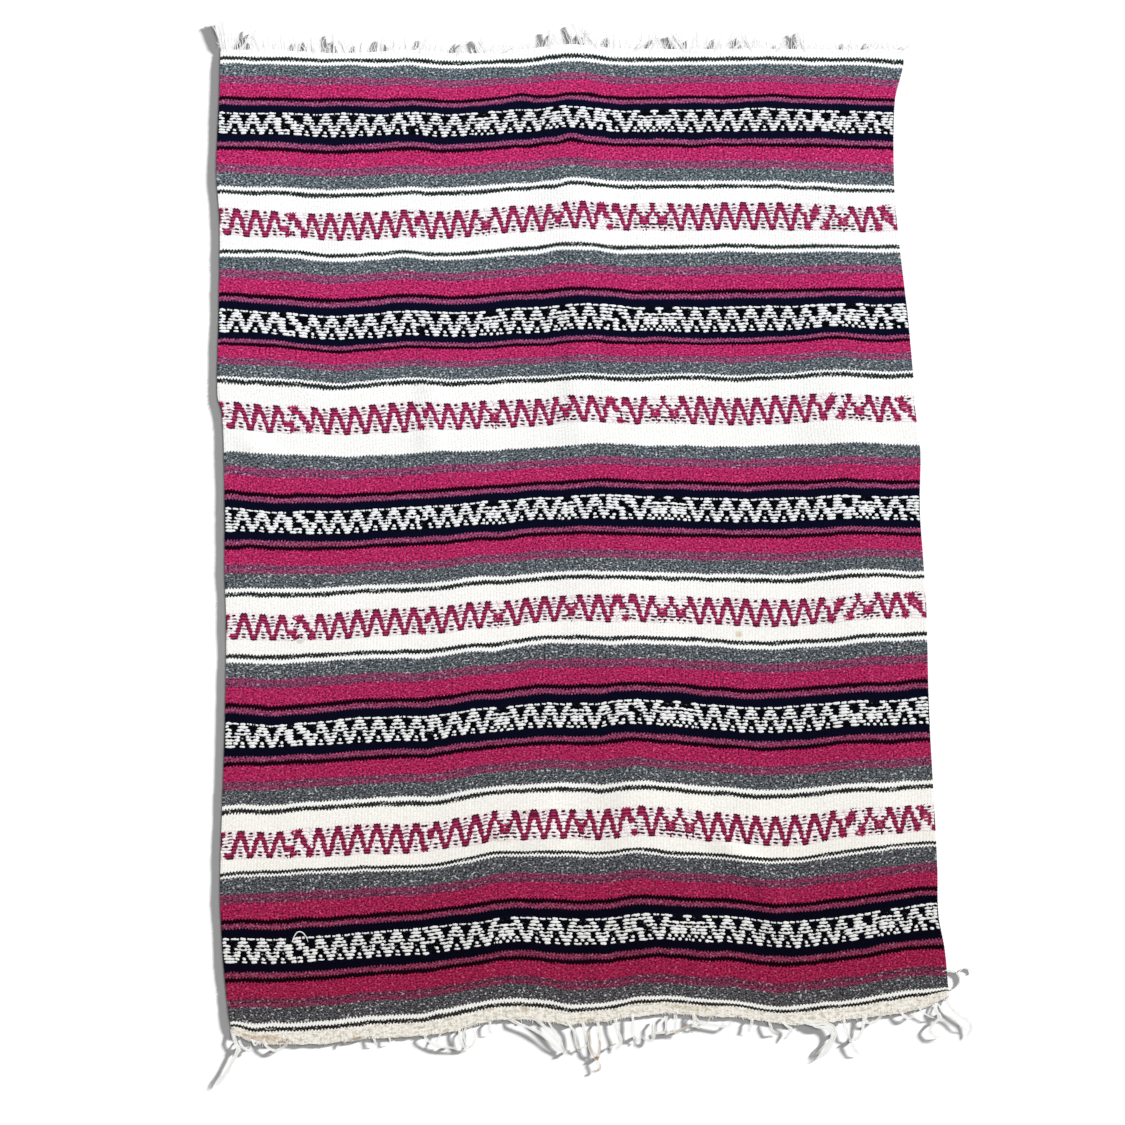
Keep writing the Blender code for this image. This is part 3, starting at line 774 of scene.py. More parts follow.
def zigzag_ground(t, age_and_falloff, share, away):
    """What lies behind the raised floats of a black band and of a pink one, and shows underneath. On the face
    it is partly the dark yarn behind the floats and partly painted shade in the gaps between them.
    """
    under = add(t, "Attribute", attribute_name="underside").outputs["Fac"]
    row = maths(t, "FLOOR", times(t, share, float(len(BLACK_REPEAT))))
    upper = maths(t, "LESS_THAN", row, 3.5)
    hat = times(t, maths(t, "LESS_THAN", plus(t, away, 0.4), row), upper)
    hat = maths(t, "MAXIMUM", hat, maths(t, "LESS_THAN", row, 0.5))
    low = times(t, minus(t, 1.0, upper), maths(t, "GREATER_THAN", away, 1.55))
    white_here = maths(t, "MAXIMUM", hat, low)
    # Painted shade: the black band's face is dark even under the white floats, so the gaps between them read
    # as shade as well as black yarn.
    black_ground_and_gap_shade = blended(t, white_here, dye("04050e"), dye("0c0d16"))
    black_back = blended(t, white_here, dye("efeeea"), dye("111118"))
    stroke = maths(t, "ABSOLUTE", minus(t, away, times(t, share, STROKE_RUNS)))
    pink_here = maths(t, "LESS_THAN", stroke, HALF_STROKE)
    pink_top = blended(t, age_and_falloff, dye("701a42"), dye("58122c"))
    white_top = blended(t, age_and_falloff, dye("efeeee"), dye("dcd8ce"))
    # Painted shade: under the white floats the pink band's face is greyed with rose, partly the pink yarn
    # behind and partly shade in the gaps.
    pink_ground_and_gap_shade = blended(t, pink_here, blended(t, 0.28, white_top, dye("c494a8")), pink_top)
    pink_back = blended(t, pink_here, pink_top, white_top)
    return blended(t, under, black_ground_and_gap_shade, black_back), blended(t, under, pink_ground_and_gap_shade, pink_back)


print("a pink stroke is", 2 * HALF_STROKE, "ends wide")

# %% [markdown]
# ## Heather, soil and marks
# The wool is mottled all over, with light and dark flecks where it is spun from mixed fleece. The white
# gathers a little soil towards the last woven end, most of all in the last heading; the gentle part of
# that darkening is also painted shade for light that falls off towards the bottom. Each of these takes
# the colour so far and gives it back changed, so their order is the order of the cloth's ageing.


# %% Fleece and soil
SOIL_FROM, SOIL_TO = 1744.0, 1750.0  # millimetres down between which the last heading's soil begins


def heather(t, colour, flecks, weave):
    """The colour mottled, and flecked as strongly as its stripe is."""
    swing = times(t, minus(t, weave["Mottle"], 0.5), times(t, flecks, 9.0))
    tone = maths(t, "MAXIMUM", plus(t, 1.05, swing), 0.25)
    colour = blended(t, 1.0, colour, grey(t, tone), "MULTIPLY")
    dark_fleck = times(t, weave["Dark"], times(t, flecks, 0.6))
    colour = blended(t, dark_fleck, colour, blended(t, 0.6, colour, dye("0c0c14")))
    light_fleck = times(t, weave["Light"], maths(t, "MINIMUM", times(t, flecks, 0.7), 1.0))
    pale = maths(t, "MAXIMUM", times(t, minus(t, flecks, 0.55), 0.9), 0.0)
    brighter = blended(t, 1.0, colour, (1.9, 1.9, 1.9, 1.0), "MULTIPLY")
    return blended(t, light_fleck, colour, blended(t, pale, brighter, dye("f0f0f2")))


def soiled(t, colour, along, down_mm, age_and_falloff, dark):
    """The colour a little soiled, more towards the bottom with age and with painted shade for the light's
    falloff, and broadly faded.
    """
    heading = add(t, "MapRange", {"Value": down_mm, "From Min": SOIL_FROM, "From Max": SOIL_TO}).outputs[0]
    worn = above_limit(t, wool_noise(t, along, down_mm, 160.0, 0.15, 4.0), 0.44, 0.22)
    soil = times(t, worn, plus(t, times(t, age_and_falloff, 0.16), times(t, heading, 0.55)))
    colour = blended(t, soil, colour, dye("cbbfa6"), "MULTIPLY")
    specks = times(t, dark, times(t, heading, 0.35))
    colour = blended(t, specks, colour, dye("8d8474"))
    spot = add(t, "CombineXYZ", {0: along, 1: down_mm}).outputs[0]
    faded = add(t, "TexNoise", {"Vector": spot, "Scale": 0.012, "Detail": 2.0}).outputs[0]
    return blended(t, 1.0, colour, grey(t, plus(t, times(t, faded, 0.12), 0.94)), "MULTIPLY")


def marked(t, colour, along, down_mm):
    """The colour with the blanket's few stains on it."""
    for mark in MARKS:
        mask = use_group(t, stain_group, {
            "X": along, "Y": down_mm, "Middle X": mark.end * END_PITCH / MM, "Middle Y": float(mark.down),
            "Half width": float(mark.half_width), "Half height": float(mark.half_height)})["Mask"]
        colour = blended(t, times(t, mask, mark.strength), colour, dye(mark.colour), "MULTIPLY")
    return colour


print("the strongest mark is on end", max(MARKS, key=lambda mark: mark.strength).end)


# %% The striped wool material
def striped_wool():
    """The whole cloth's finish: stripes, saw-tooth edges, heather flecks, zigzag ground and marks."""
    material, t, shader = new_finish("striped_wool", 0.95)
    ends, down = two_numbers(t, "weave")
    place, away = two_numbers(t, "bands")
    down_mm = times(t, down, 1000.0)
    along = times(t, ends, END_PITCH / MM)
    weave = use_group(t, weave_group, {"Ends": ends, "Along mm": along, "Down mm": down_mm, "Pick mm": PICK})
    place = toothed(t, place, weave["Tooth mm"])
    number, share = maths(t, "FLOOR", place), maths(t, "FRACT", place)
    turn = maths(t, "MODULO", number, 4.0)
    from_black = from_black_band(t, number, turn, share)
    # Painted shade as well as age: the dyes darken towards the bottom, standing in for light that falls off
    # down the cloth.
    age_and_falloff = maths(t, "POWER", over(t, down, CLOTH_LENGTH), 1.5)
    colour = blended(t, age_and_falloff, stripe_ramp(t, from_black, [dye(s.top) for s in STRIPES]),
                     stripe_ramp(t, from_black, [dye(s.bottom) for s in STRIPES]))
    flecks = stripe_ramp(t, from_black, [(s.flecks, s.flecks, s.flecks, 1) for s in STRIPES])
    ground_black, ground_pink = zigzag_ground(t, age_and_falloff, share, away)
    colour = blended(t, between(t, 0.5, turn, 1.5), colour, ground_black)
    colour = blended(t, maths(t, "GREATER_THAN", turn, 2.5), colour, ground_pink)
    colour = heather(t, colour, flecks, weave)
    colour = soiled(t, colour, along, down_mm, age_and_falloff, weave["Dark"])
    join(t, shader.inputs["Base Color"], marked(t, colour, along, down_mm))
    relief(t, shader, weave["Height"], 0.9 * MM, 0.7)
    return material


wool = striped_wool()
print("striped wool:", len(wool.node_tree.nodes), "nodes,", len(STRIPES), "stripes,", len(MARKS), "marks")

# %% [markdown]
# ## Mesh tools
# Every piece here is a grid of points joined by four-sided faces. One helper makes an object from
# such arrays, gives it smooth shading and its maps, and has it ride on the blanket's only body. The
# other gives each point a number that a finish can read, such as which thread it belongs to.


# %% Make one piece from arrays
def number_points(piece, name, values):
    """One number for each point of the piece, which its finish reads by this name."""
    layer = piece.data.attributes.new(name, "FLOAT", "POINT")
    layer.data.foreach_set("value", np.asarray(values, dtype=np.float32))


def make_piece(name, points, faces, maps, materials, face_material=None):
    """A mesh object from points, faces and one pair of numbers for each face corner in each map."""
    mesh = bpy.data.meshes.new(name)
    mesh.from_pydata(points.tolist(), [], [[int(i) for i in face if i >= 0] for face in faces])
    for map_name, values in maps.items():
        layer = mesh.uv_layers.new(name=map_name)
        layer.data.foreach_set("uv", np.ascontiguousarray(values, dtype=np.float32).ravel())
    for material in materials:
        mesh.materials.append(material)
    if face_material is not None:
        mesh.polygons.foreach_set("material_index", np.asarray(face_material, dtype=np.int32))
    mesh.polygons.foreach_set("use_smooth", np.ones(len(mesh.polygons), dtype=bool))
    mesh.update()
    made = bpy.data.objects.new(name, mesh)
    bpy.context.scene.collection.objects.link(made)
    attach(made, "root")
    triangles = sum(len(p.vertices) - 2 for p in mesh.polygons)
    print(f"{name}: {triangles} triangles")
    return made


# %% [markdown]
# ## The sheet
# The cloth itself is a closed sheet 2.5 mm thick. Its grid has two columns for each warp end, one on
# the rib and one in the groove beside it, so the ribs are real shape. Its rows fall exactly on the
# edges of the bands, because the stripe place is read off the grid. The last map lays the face and
# the underside out flat in one square, for baking.

# %% Rows and sizes of the sheet
RIB = 0.45 * MM
BAND_SINKS = 0.35 * MM
BACK_RIB = 0.15 * MM
EDGE_WAVE = 0.9 * MM
ROWS_WANTED = 104
# Where the face and the underside lie in the square map for baking: their corners and their sizes.
FACE_AT, FACE_SIZE = [0.01, 0.015], [0.70, 0.97]
BACK_AT, BACK_SIZE = [0.725, 0.015], [0.26, 0.97]
RIM_AT, RIM_WIDTH = 0.714, 0.006
EDGE_ROW = 1.2 * MM  # a row just inside each woven end keeps the edge crisp under smooth shading


def sheet_rows():
    """Distances down of the sheet's rows: every band edge, and even steps between them."""
    fixed = [0.0, *[float(e) for e in EDGES[1:-1]], CLOTH_LENGTH]
    spans = np.diff(fixed)
    rows = [0.0, EDGE_ROW]
    for start, span in zip(fixed, spans):
        steps = max(2, round(span / CLOTH_LENGTH * ROWS_WANTED))
        rows += [start + span * (k + 1) / steps for k in range(steps)]
    return np.array(rows[:-1] + [CLOTH_LENGTH - EDGE_ROW, CLOTH_LENGTH])


print(len(sheet_rows()), "rows of", 2 * ENDS + 1, "points")


# %% Weave the sheet
def weave_sheet():
    """The closed ribbed sheet, its face above and its plain back below."""
    column = np.arange(2 * ENDS + 1) / 2
    down = sheet_rows()
    rows, columns = len(down), len(column)
    end_grid, down_grid = np.meshgrid(column, down)
    place, _, _, up = cloth_frame(end_grid, down_grid)
    rib = np.where(np.arange(columns) % 2 == 1, 1.0, -0.35)[None, :]
    uneven = 0.75 + 0.5 * soft_noise(end_grid, down_grid / MM / 9, 3.0, 1.7)
    at = stripe_place(down_grid)
    in_band = (np.floor(at) % 2 == 1) & (at % 1 > 0.02)
    face = place + up * (CLOTH_THICKNESS + RIB * rib * uneven - BAND_SINKS * in_band)[..., None]
    back = place.copy()
    back[..., 2] += BACK_RIB * (1 - rib)
    edge_wave = EDGE_WAVE * soft_noise(down_grid / MM, down_grid * 0, 7.0, 5.5)
    side = np.where(end_grid < 1, 1.0, np.where(end_grid > ENDS - 1, -1.0, 0.0))
    for layer in (face, back):
        layer[..., 0] += side * np.abs(edge_wave) * 0.8
    points = np.concatenate([face.reshape(-1, 3), back.reshape(-1, 3)])

    index = np.arange(rows * columns).reshape(rows, columns)
    quads = np.stack([index[:-1, :-1], index[1:, :-1], index[1:, 1:], index[:-1, 1:]], -1).reshape(-1, 4)
    under = quads[:, ::-1] + rows * columns
    ring = np.concatenate([index[0, :-1], index[:-1, -1], index[-1, :0:-1], index[:0:-1, 0]])
    after = np.roll(ring, -1)
    rim = np.stack([ring, after, after + rows * columns, ring + rows * columns], -1)
    faces = np.concatenate([quads, under, rim])

    corner = faces % (rows * columns)
    weave = np.stack([end_grid.ravel(), down_grid.ravel()], -1)[corner.ravel()]
    away = np.zeros_like(end_grid)
    for number in range(len(BANDS)):
        here = np.abs(at - (2 * number + 1.5)) <= 1
        away[here] = from_hat(end_grid[here] - 0.5 - slipped(number, end_grid[here]))
    bands = np.stack([at.ravel(), away.ravel()], -1)[corner.ravel()]
    flat = weave / [ENDS, CLOTH_LENGTH]
    corner_is_under = np.repeat(np.arange(len(faces)) >= len(quads), 4)
    bake = np.where(corner_is_under[:, None], BACK_AT + flat * BACK_SIZE, FACE_AT + flat * FACE_SIZE)
    rim_from = (len(quads) + len(under)) * 4
    step = np.repeat(np.arange(len(rim)), 4) + np.tile([0, 1, 1, 0], len(rim))
    bake[rim_from:, 0] = RIM_AT + RIM_WIDTH * np.tile([0, 0, 1, 1], len(rim))
    bake[rim_from:, 1] = FACE_AT[1] + FACE_SIZE[1] * step / len(rim)
    maps = {"weave": weave, "bands": bands, "OFBake": bake}
    sheet = make_piece("serape_cloth", points, faces, maps, [wool])
    number_points(sheet, "underside", np.repeat([0.0, 1.0], rows * columns))
    return sheet


cloth = weave_sheet()
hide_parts("cloth")

# %% [markdown]
# ## Spun yarn as a shared effect
# The zigzags and the fringe are yarn that can be seen thread by thread. Spun yarn shows a slanting
# twist and loose fibres. The group turns a place along and around the yarn into a tone and a height,
# and warms and darkens the yarn from the top of the cloth to the bottom: partly its age, partly
# painted shade for light that falls off towards the bottom.

# %% Yarn group
yarn_group, given, result = new_group(
    "spun_yarn",
    [("Along mm", "Float", 0.0), ("Around", "Float", 0.0), ("Old", "Float", 0.0), ("Thread", "Float", 0.0),
     ("Twist mm", "Float", 4.0), ("Fresh", "Color", (1, 1, 1, 1)), ("Aged", "Color", (1, 1, 1, 1)),
     ("Depth", "Float", 0.3)],
    [("Color", "Color"), ("Height", "Float")],
)
t = yarn_group
turns = plus(t, over(t, given["Along mm"], given["Twist mm"]), times(t, given["Around"], 2.0))
ply = maths(t, "ABSOLUTE", maths(t, "SINE", times(t, turns, math.pi)))
fibres = add(t, "TexNoise", {
    "Vector": add(t, "CombineXYZ", {0: times(t, given["Along mm"], 0.5),
                                    1: times(t, given["Around"], 9.0),
                                    2: times(t, given["Thread"], 57.0)}).outputs[0],
    "Scale": 1.4, "Detail": 3.0, "Roughness": 0.65}).outputs[0]
tone = plus(t, times(t, fibres, 0.9), times(t, ply, 0.3))
tone = plus(t, tone, times(t, given["Thread"], 0.35))
shade = minus(t, 1.0, times(t, given["Depth"], minus(t, 1.0, maths(t, "MINIMUM", tone, 1.0))))
own = blended(t, given["Old"], given["Fresh"], given["Aged"])
join(t, result["Color"], blended(t, 1.0, own, grey(t, shade), "MULTIPLY"))
join(t, result["Height"], plus(t, times(t, ply, 0.7), times(t, fibres, 0.5)))
print("yarn group:", len(t.nodes), "nodes")


# %% Yarn finishes
def yarn_finish(name, fresh, aged_and_dimmer, depth, twist=4.0, sheen=0.02):
    """A spun yarn in these two dyes, one for each end of the cloth, with its tone varied to this depth."""
    material, t, shader = new_finish(name, 0.9, sheen)
    along, around = two_numbers(t, "yarn")
    _, down = two_numbers(t, "weave")
    thread = add(t, "Attribute", attribute_name="thread").outputs["Fac"]
    # Painted shade as well as age: the yarn darkens towards the bottom, standing in for light that falls off
    # down the cloth.
    age_and_falloff = maths(t, "POWER", over(t, down, CLOTH_LENGTH), 2.0)
    yarn = use_group(t, yarn_group, {
        "Along mm": times(t, along, 1000.0), "Around": around, "Old": age_and_falloff, "Thread": thread,
        "Twist mm": twist, "Fresh": dye(fresh), "Aged": dye(aged_and_dimmer), "Depth": depth})
    join(t, shader.inputs["Base Color"], yarn["Color"])
    relief(t, shader, yarn["Height"], 0.5 * MM, 0.6)
    return material


white_weft = yarn_finish("white_weft", "fbfdff", "e9e8e5", 0.10)
black_weft = yarn_finish("black_weft", "04050e", "030308", 0.50, sheen=0.0)
pink_weft = yarn_finish("pink_weft", "cd4078", "a62a50", 0.45)
blushed_weft = yarn_finish("blushed_weft", "fffafc", "f7eeef", 0.09)
dark_weft = yarn_finish("dark_weft", "561a38", "481226", 0.50, sheen=0.0)
maroon_weft = yarn_finish("maroon_weft", "861f50", "701636", 0.50, sheen=0.0)
shaded_weft = yarn_finish("shaded_weft", "9c6480", "824a60", 0.50)
WEFTS = [white_weft, black_weft, pink_weft, blushed_weft, dark_weft, maroon_weft, shaded_weft]
print("wefts:", [m.name for m in WEFTS])

# %% [markdown]
# ## The raised zigzags
# Each float is a short plump length of yarn: a half round that swells between the two places where it
# dives under the warp. A long run of one colour is really several floats side by side, so it is cut
# into lengths of two or three ends that just overlap. In the black bands the white wool is thicker
# and crowds the dark into narrow gaps. In the pink ones the pink stands higher than the white, which
# is a little blushed by the dye behind it.

# %% Floats from a chart row
Float = namedtuple("Float", "first last row colour half height lift")
WHITE, BLACK, PINK, BLUSHED, DARK, MAROON, SHADED = range(7)
# What each letter means in each kind of band: the yarn, half its width in rows, and mm proud.
YARNS = {
    "black": {"w": (WHITE, 0.62, 1.5), "x": (WHITE, 0.62, 1.5), "t": (WHITE, 0.44, 1.2),
              "k": (BLACK, 0.47, 0.9)},
    "pink": {"w": (BLUSHED, 0.60, 1.2), "x": (BLUSHED, 0.60, 1.2), "p": (PINK, 0.44, 1.5)},
}
# How many ends a float reaches into the next.
OVERLAP = {WHITE: 0.10, BLACK: 0.10, BLUSHED: 0.10, PINK: 0.12}
LONGEST_FLOAT, FLOAT_LENGTHS = 3.5, (2, 2.5, 3)  # in ends
DASH_PROUD, DASH_LIFT = 0.9, 1.1  # millimetres that a dash is thick, and that it lies above the ground
FAULT_REACH = 0.5  # ends that a fault's dash reaches to each side
TIP_INSIDE, TIP_REACH, TIP_HALF, TIP_OFTEN = 0.25, 0.45, 0.30, 0.85  # the same for the pink yarn's tips


def floats_of_row(cells, row, yarns):
    """The floats of one row of the chart: runs of one yarn, cut into lengths of two or three ends."""
    made = []
    start = 0
    while start < len(cells):
        yarn = yarns[cells[start]]
        stop = start + 1
        while stop < len(cells) and yarns[cells[stop]] == yarn:
            stop += 1
        first = start / 2
        while first < stop / 2:
            left = stop / 2 - first
            take = left if left <= LONGEST_FLOAT else chance.choice(FLOAT_LENGTHS)
            if 0 < left - take < 1:
                take = left / 2
            early, late = chance.uniform(-0.1, 0.1), chance.uniform(-0.1, 0.1)
            reach = OVERLAP[yarn[0]]
            made.append(Float(first - reach + early, first + take + reach + late, row, *yarn, 0))
            first += take
        start = stop
    return made


# %% Dashes between the rows
def dash_float(middle, row, reach, colour, half=0.38):
    """A short dark float so many rows down the band."""
    middle += chance.uniform(-0.15, 0.15)
    reach *= chance.uniform(0.9, 1.2)
    place = row - 0.5 + chance.uniform(-0.06, 0.06)
    return Float(middle - reach, middle + reach, place, colour, half, DASH_PROUD, DASH_LIFT)


def dashes_of_band(rows, kind):
    """The dashes between the rows: the regular ones, those of the faults, and the pink yarn's tips."""
    black = kind == "black"
    made = []
    for hat, after in zip(HATS, HATS[1:]):
        for dash in DASHES[kind]:
            middle = 0.5 + (hat if dash.away == 0 else (hat + after) / 2)
            in_fault = any(f.first <= middle <= f.first + len(f.black[0]) for f in FAULTS)
            if not in_fault and 0.5 < middle < ENDS - 0.5 and chance.random() < dash.often:
                colour = BLACK if black else DARK if dash.half > FLAT_DASH else SHADED
                made.append(dash_float(middle, dash.row, dash.reach, colour, dash.half))
    for fault in FAULTS:
        for row, cells in enumerate(getattr(fault, kind)):
            made += [dash_float(fault.first + i + 0.5, row, FAULT_REACH, BLACK if black else DARK)
                     for i, letter in enumerate(cells) if letter == "x"]
    for row, cells in enumerate(rows if not black else []):
        for i in range(1, len(cells)):
            if "p" in cells[i - 1:i + 1] and cells[i - 1] != cells[i] and chance.random() < TIP_OFTEN:
                inside = TIP_INSIDE if cells[i] == "p" else -TIP_INSIDE
                beside = 1 if row == 0 else 0 if row == len(rows) - 1 else chance.choice((0, 1))
                made.append(dash_float(i / 2 + inside, row + beside, TIP_REACH, MAROON, TIP_HALF))
    return made


# %% One float's shape
RING_SHARE = np.array([0.045, 0.22, 0.50, 0.78, 0.955])  # where its rings stand along a float
RINGS = len(RING_SHARE)
ARCH = 4  # points round the arch of each ring


def float_template():
    """Faces of one float and, for each face corner, its ring and its place round the arch."""
    faces, ring_of, side_of = [], [], []
    for ring in range(RINGS - 1):
        for side in range(ARCH):
            after = (side + 1) % ARCH
            here, beyond = ring * ARCH, (ring + 1) * ARCH
            faces.append((here + side, here + after, beyond + after, beyond + side))
            ring_of.append((ring, ring, ring + 1, ring + 1))
            side_of.append((side, side + 1, side + 1, side))
    first_tip, last_tip = RINGS * ARCH, RINGS * ARCH + 1
    for side in range(ARCH):
        after = (side + 1) % ARCH
        faces.append((after, side, first_tip, -1))
        ring_of.append((0, 0, -1, -1))
        side_of.append((side + 1, side, side + 0.5, 0))
        faces.append(((RINGS - 1) * ARCH + side, (RINGS - 1) * ARCH + after, last_tip, -1))
        ring_of.append((RINGS - 1, RINGS - 1, RINGS, -1))
        side_of.append((side, side + 1, side + 0.5, 0))
    return np.array(faces), np.array(ring_of), np.array(side_of)


print("a float has", 2 * (RINGS - 1) * ARCH + 2 * ARCH, "triangles")

# %% Floats laid out for baking
QUARTER = ENDS / 4
LANE_ENDS, TIDY_END = 60, 0.24  # how many ends a baking lane has room for, and what a float leaves free


def bake_lanes(floats, rows, corner_share, corner_side):
    """The band cut into four lengths, one under the other, with a lane for each row of floats or dashes."""
    first, last, row, _, _, _, lift = floats
    lanes = 2 * rows + 1
    quarter = np.minimum(np.floor(np.clip(first, 0, ENDS - 1) / QUARTER), 3)
    lane = np.where(lift > 0, (2 * np.round(row + 0.5) - 1) % lanes, 2 * row) + quarter * lanes
    tidy_first, tidy_last = first + TIDY_END, last - TIDY_END
    tidy_end = tidy_first[:, None] + (tidy_last - tidy_first)[:, None] * corner_share
    tidy_end -= quarter[:, None] * QUARTER
    return np.stack([0.01 + (tidy_end + 1) / LANE_ENDS * 0.98,
                     0.01 + 0.98 * (lane[:, None] + 0.06 + 0.88 * corner_side) / (4 * lanes)], -1)


print("each length for baking is", QUARTER, "ends long")

# %% Turn floats into a mesh
CLOSEST_ROWS = 5.0 * MM
FLOAT_SINKS = 0.3 * MM
TIP_HEIGHT = 0.25  # how high a float's two tips stand, as a share of the float
WEFT_STEP, ROW_LUCK, SLANT_LUCK = 0.06, 0.05, 0.10  # shares of a row
WIDTH_LUCK, HEIGHT_LUCK = 0.10, 0.15  # how much one float differs from the next


def weave_floats(name, band, kind, number):
    """All the floats of one band as one piece."""
    rows = CHARTS[kind]
    floats = [f for row, cells in enumerate(rows) for f in floats_of_row(cells, row, YARNS[kind])]
    floats += dashes_of_band(rows, kind)
    count = len(floats)
    floats = np.array(floats, float).T
    first, last, row, colour, half, tall, lift = floats
    pitch = band.height * MM / len(rows)
    luck = np.random.default_rng(SEED + number).uniform(-1, 1, (count, 4))

    swell = np.sqrt(np.clip(1 - np.abs(2 * RING_SHARE - 1) ** 2.6, 0, 1))
    end = first[:, None] + (last - first)[:, None] * RING_SHARE
    step = np.cos(math.pi * end) * WEFT_STEP
    down = band.start * MM + pitch * (row[:, None] + 0.5 + step + ROW_LUCK * luck[:, :1]
                                      + SLANT_LUCK * luck[:, 1:2] * (RING_SHARE - 0.5))
    down = np.clip(down, 0, CLOTH_LENGTH)
    place, across, downward, up = cloth_frame(np.clip(end + slipped(number, end), 0, ENDS), down)
    angle = np.linspace(0, math.pi, ARCH)
    # The white yarn is as thick in every band, so rows that lie further apart show more of the dark.
    spread = np.where(colour == WHITE, (CLOSEST_ROWS / pitch) ** 0.6, 1.0)
    half_width = (half * spread * (1 + WIDTH_LUCK * luck[:, 2]))[:, None] * pitch * swell
    height = (tall * MM * (1 + HEIGHT_LUCK * luck[:, 3]))[:, None] * swell
    base = CLOTH_THICKNESS - BAND_SINKS - FLOAT_SINKS + (lift * MM)[:, None]
    ring_points = (place[:, :, None, :]
                   + downward[:, :, None, :] * (half_width[..., None] * -np.cos(angle))[..., None]
                   + up[:, :, None, :] * (base[..., None] + height[..., None] * np.sin(angle))[..., None])
    tips = []
    for which, edge in ((0, first), (-1, last)):
        spot, _, _, tip_up = cloth_frame(np.clip(edge + slipped(number, edge), 0, ENDS), down[:, which])
        tips.append(spot + tip_up * (base[:, :1] + TIP_HEIGHT * tall[:, None] * MM))
    points = np.concatenate([ring_points.reshape(count, -1, 3), np.stack(tips, 1)], axis=1)
    per_float = points.shape[1]

    faces, ring_of, side_of = float_template()
    all_faces = np.where(faces[None] >= 0, faces[None] + (np.arange(count) * per_float)[:, None, None], -1)
    used = (faces >= 0).ravel()
    corner_share = np.concatenate([RING_SHARE, [1.0, 0.0]])[ring_of.ravel()[used]]
    corner_side = side_of.ravel()[used] / ARCH
    lengths = (last - first)[:, None] * END_PITCH * corner_share
    yarn = np.stack([lengths + luck[:, :1] * 0.05, np.broadcast_to(corner_side, lengths.shape)], -1)
    corner_end = first[:, None] + (last - first)[:, None] * corner_share
    weave = np.stack([corner_end, np.broadcast_to(down.mean(1)[:, None], corner_end.shape)], -1)
    bake = bake_lanes(floats, len(rows), corner_share, corner_side)
    maps = {key: value.reshape(-1, 2) for key, value in (("weave", weave), ("yarn", yarn), ("OFBake", bake))}
    made = make_piece(name, points.reshape(-1, 3), all_faces.reshape(-1, 4), maps, WEFTS,
                      np.repeat(colour.astype(int), len(faces)))
    number_points(made, "thread", np.repeat(luck[:, 3] * 0.5 + 0.5, per_float))
    return made


for number, band in enumerate(BANDS):
    kind = "black" if band.name.startswith("black") else "pink"
    weave_floats(band.name, band, kind, number)

# %% [markdown]
# ## Yarn ends
# At both ends of a serape the warp is cut and left. The ends at the top are short, white and mostly
# straight. Those at the bottom have worn into loops, knots and small tassels, with brown tips. Each is
# drawn as a smooth path through a few points, and a tube with a slight two-ply twist follows it.

# %% Tubes along paths
STEP = 1.814  # the chart of the bottom fringe is drawn in steps of this many millimetres
SIDES = 5
TWIST = 3.4  # millimetres for one turn of the two plies
PLY_DEPTH = 0.16  # how far the two plies swell and pinch the yarn


def smooth_path(points, spacing):
    """A smooth curve through the points, cut into steps of about this spacing."""
    points = np.asarray(points, float)
    padded = np.concatenate([[2 * points[0] - points[1]], points, [2 * points[-1] - points[-2]]])
    out = []
    for i in range(1, len(padded) - 2):
        a, b, c, d = padded[i - 1:i + 3]
        steps = max(2, round(np.linalg.norm(c - b) / spacing))
        for s in np.arange(steps) / steps:
            out.append(0.5 * (2 * b + (c - a) * s + (2 * a - 5 * b + 4 * c - d) * s ** 2
                              + (3 * b - a - 3 * c + d) * s ** 3))
    out.append(points[-1])
    return np.array(out)


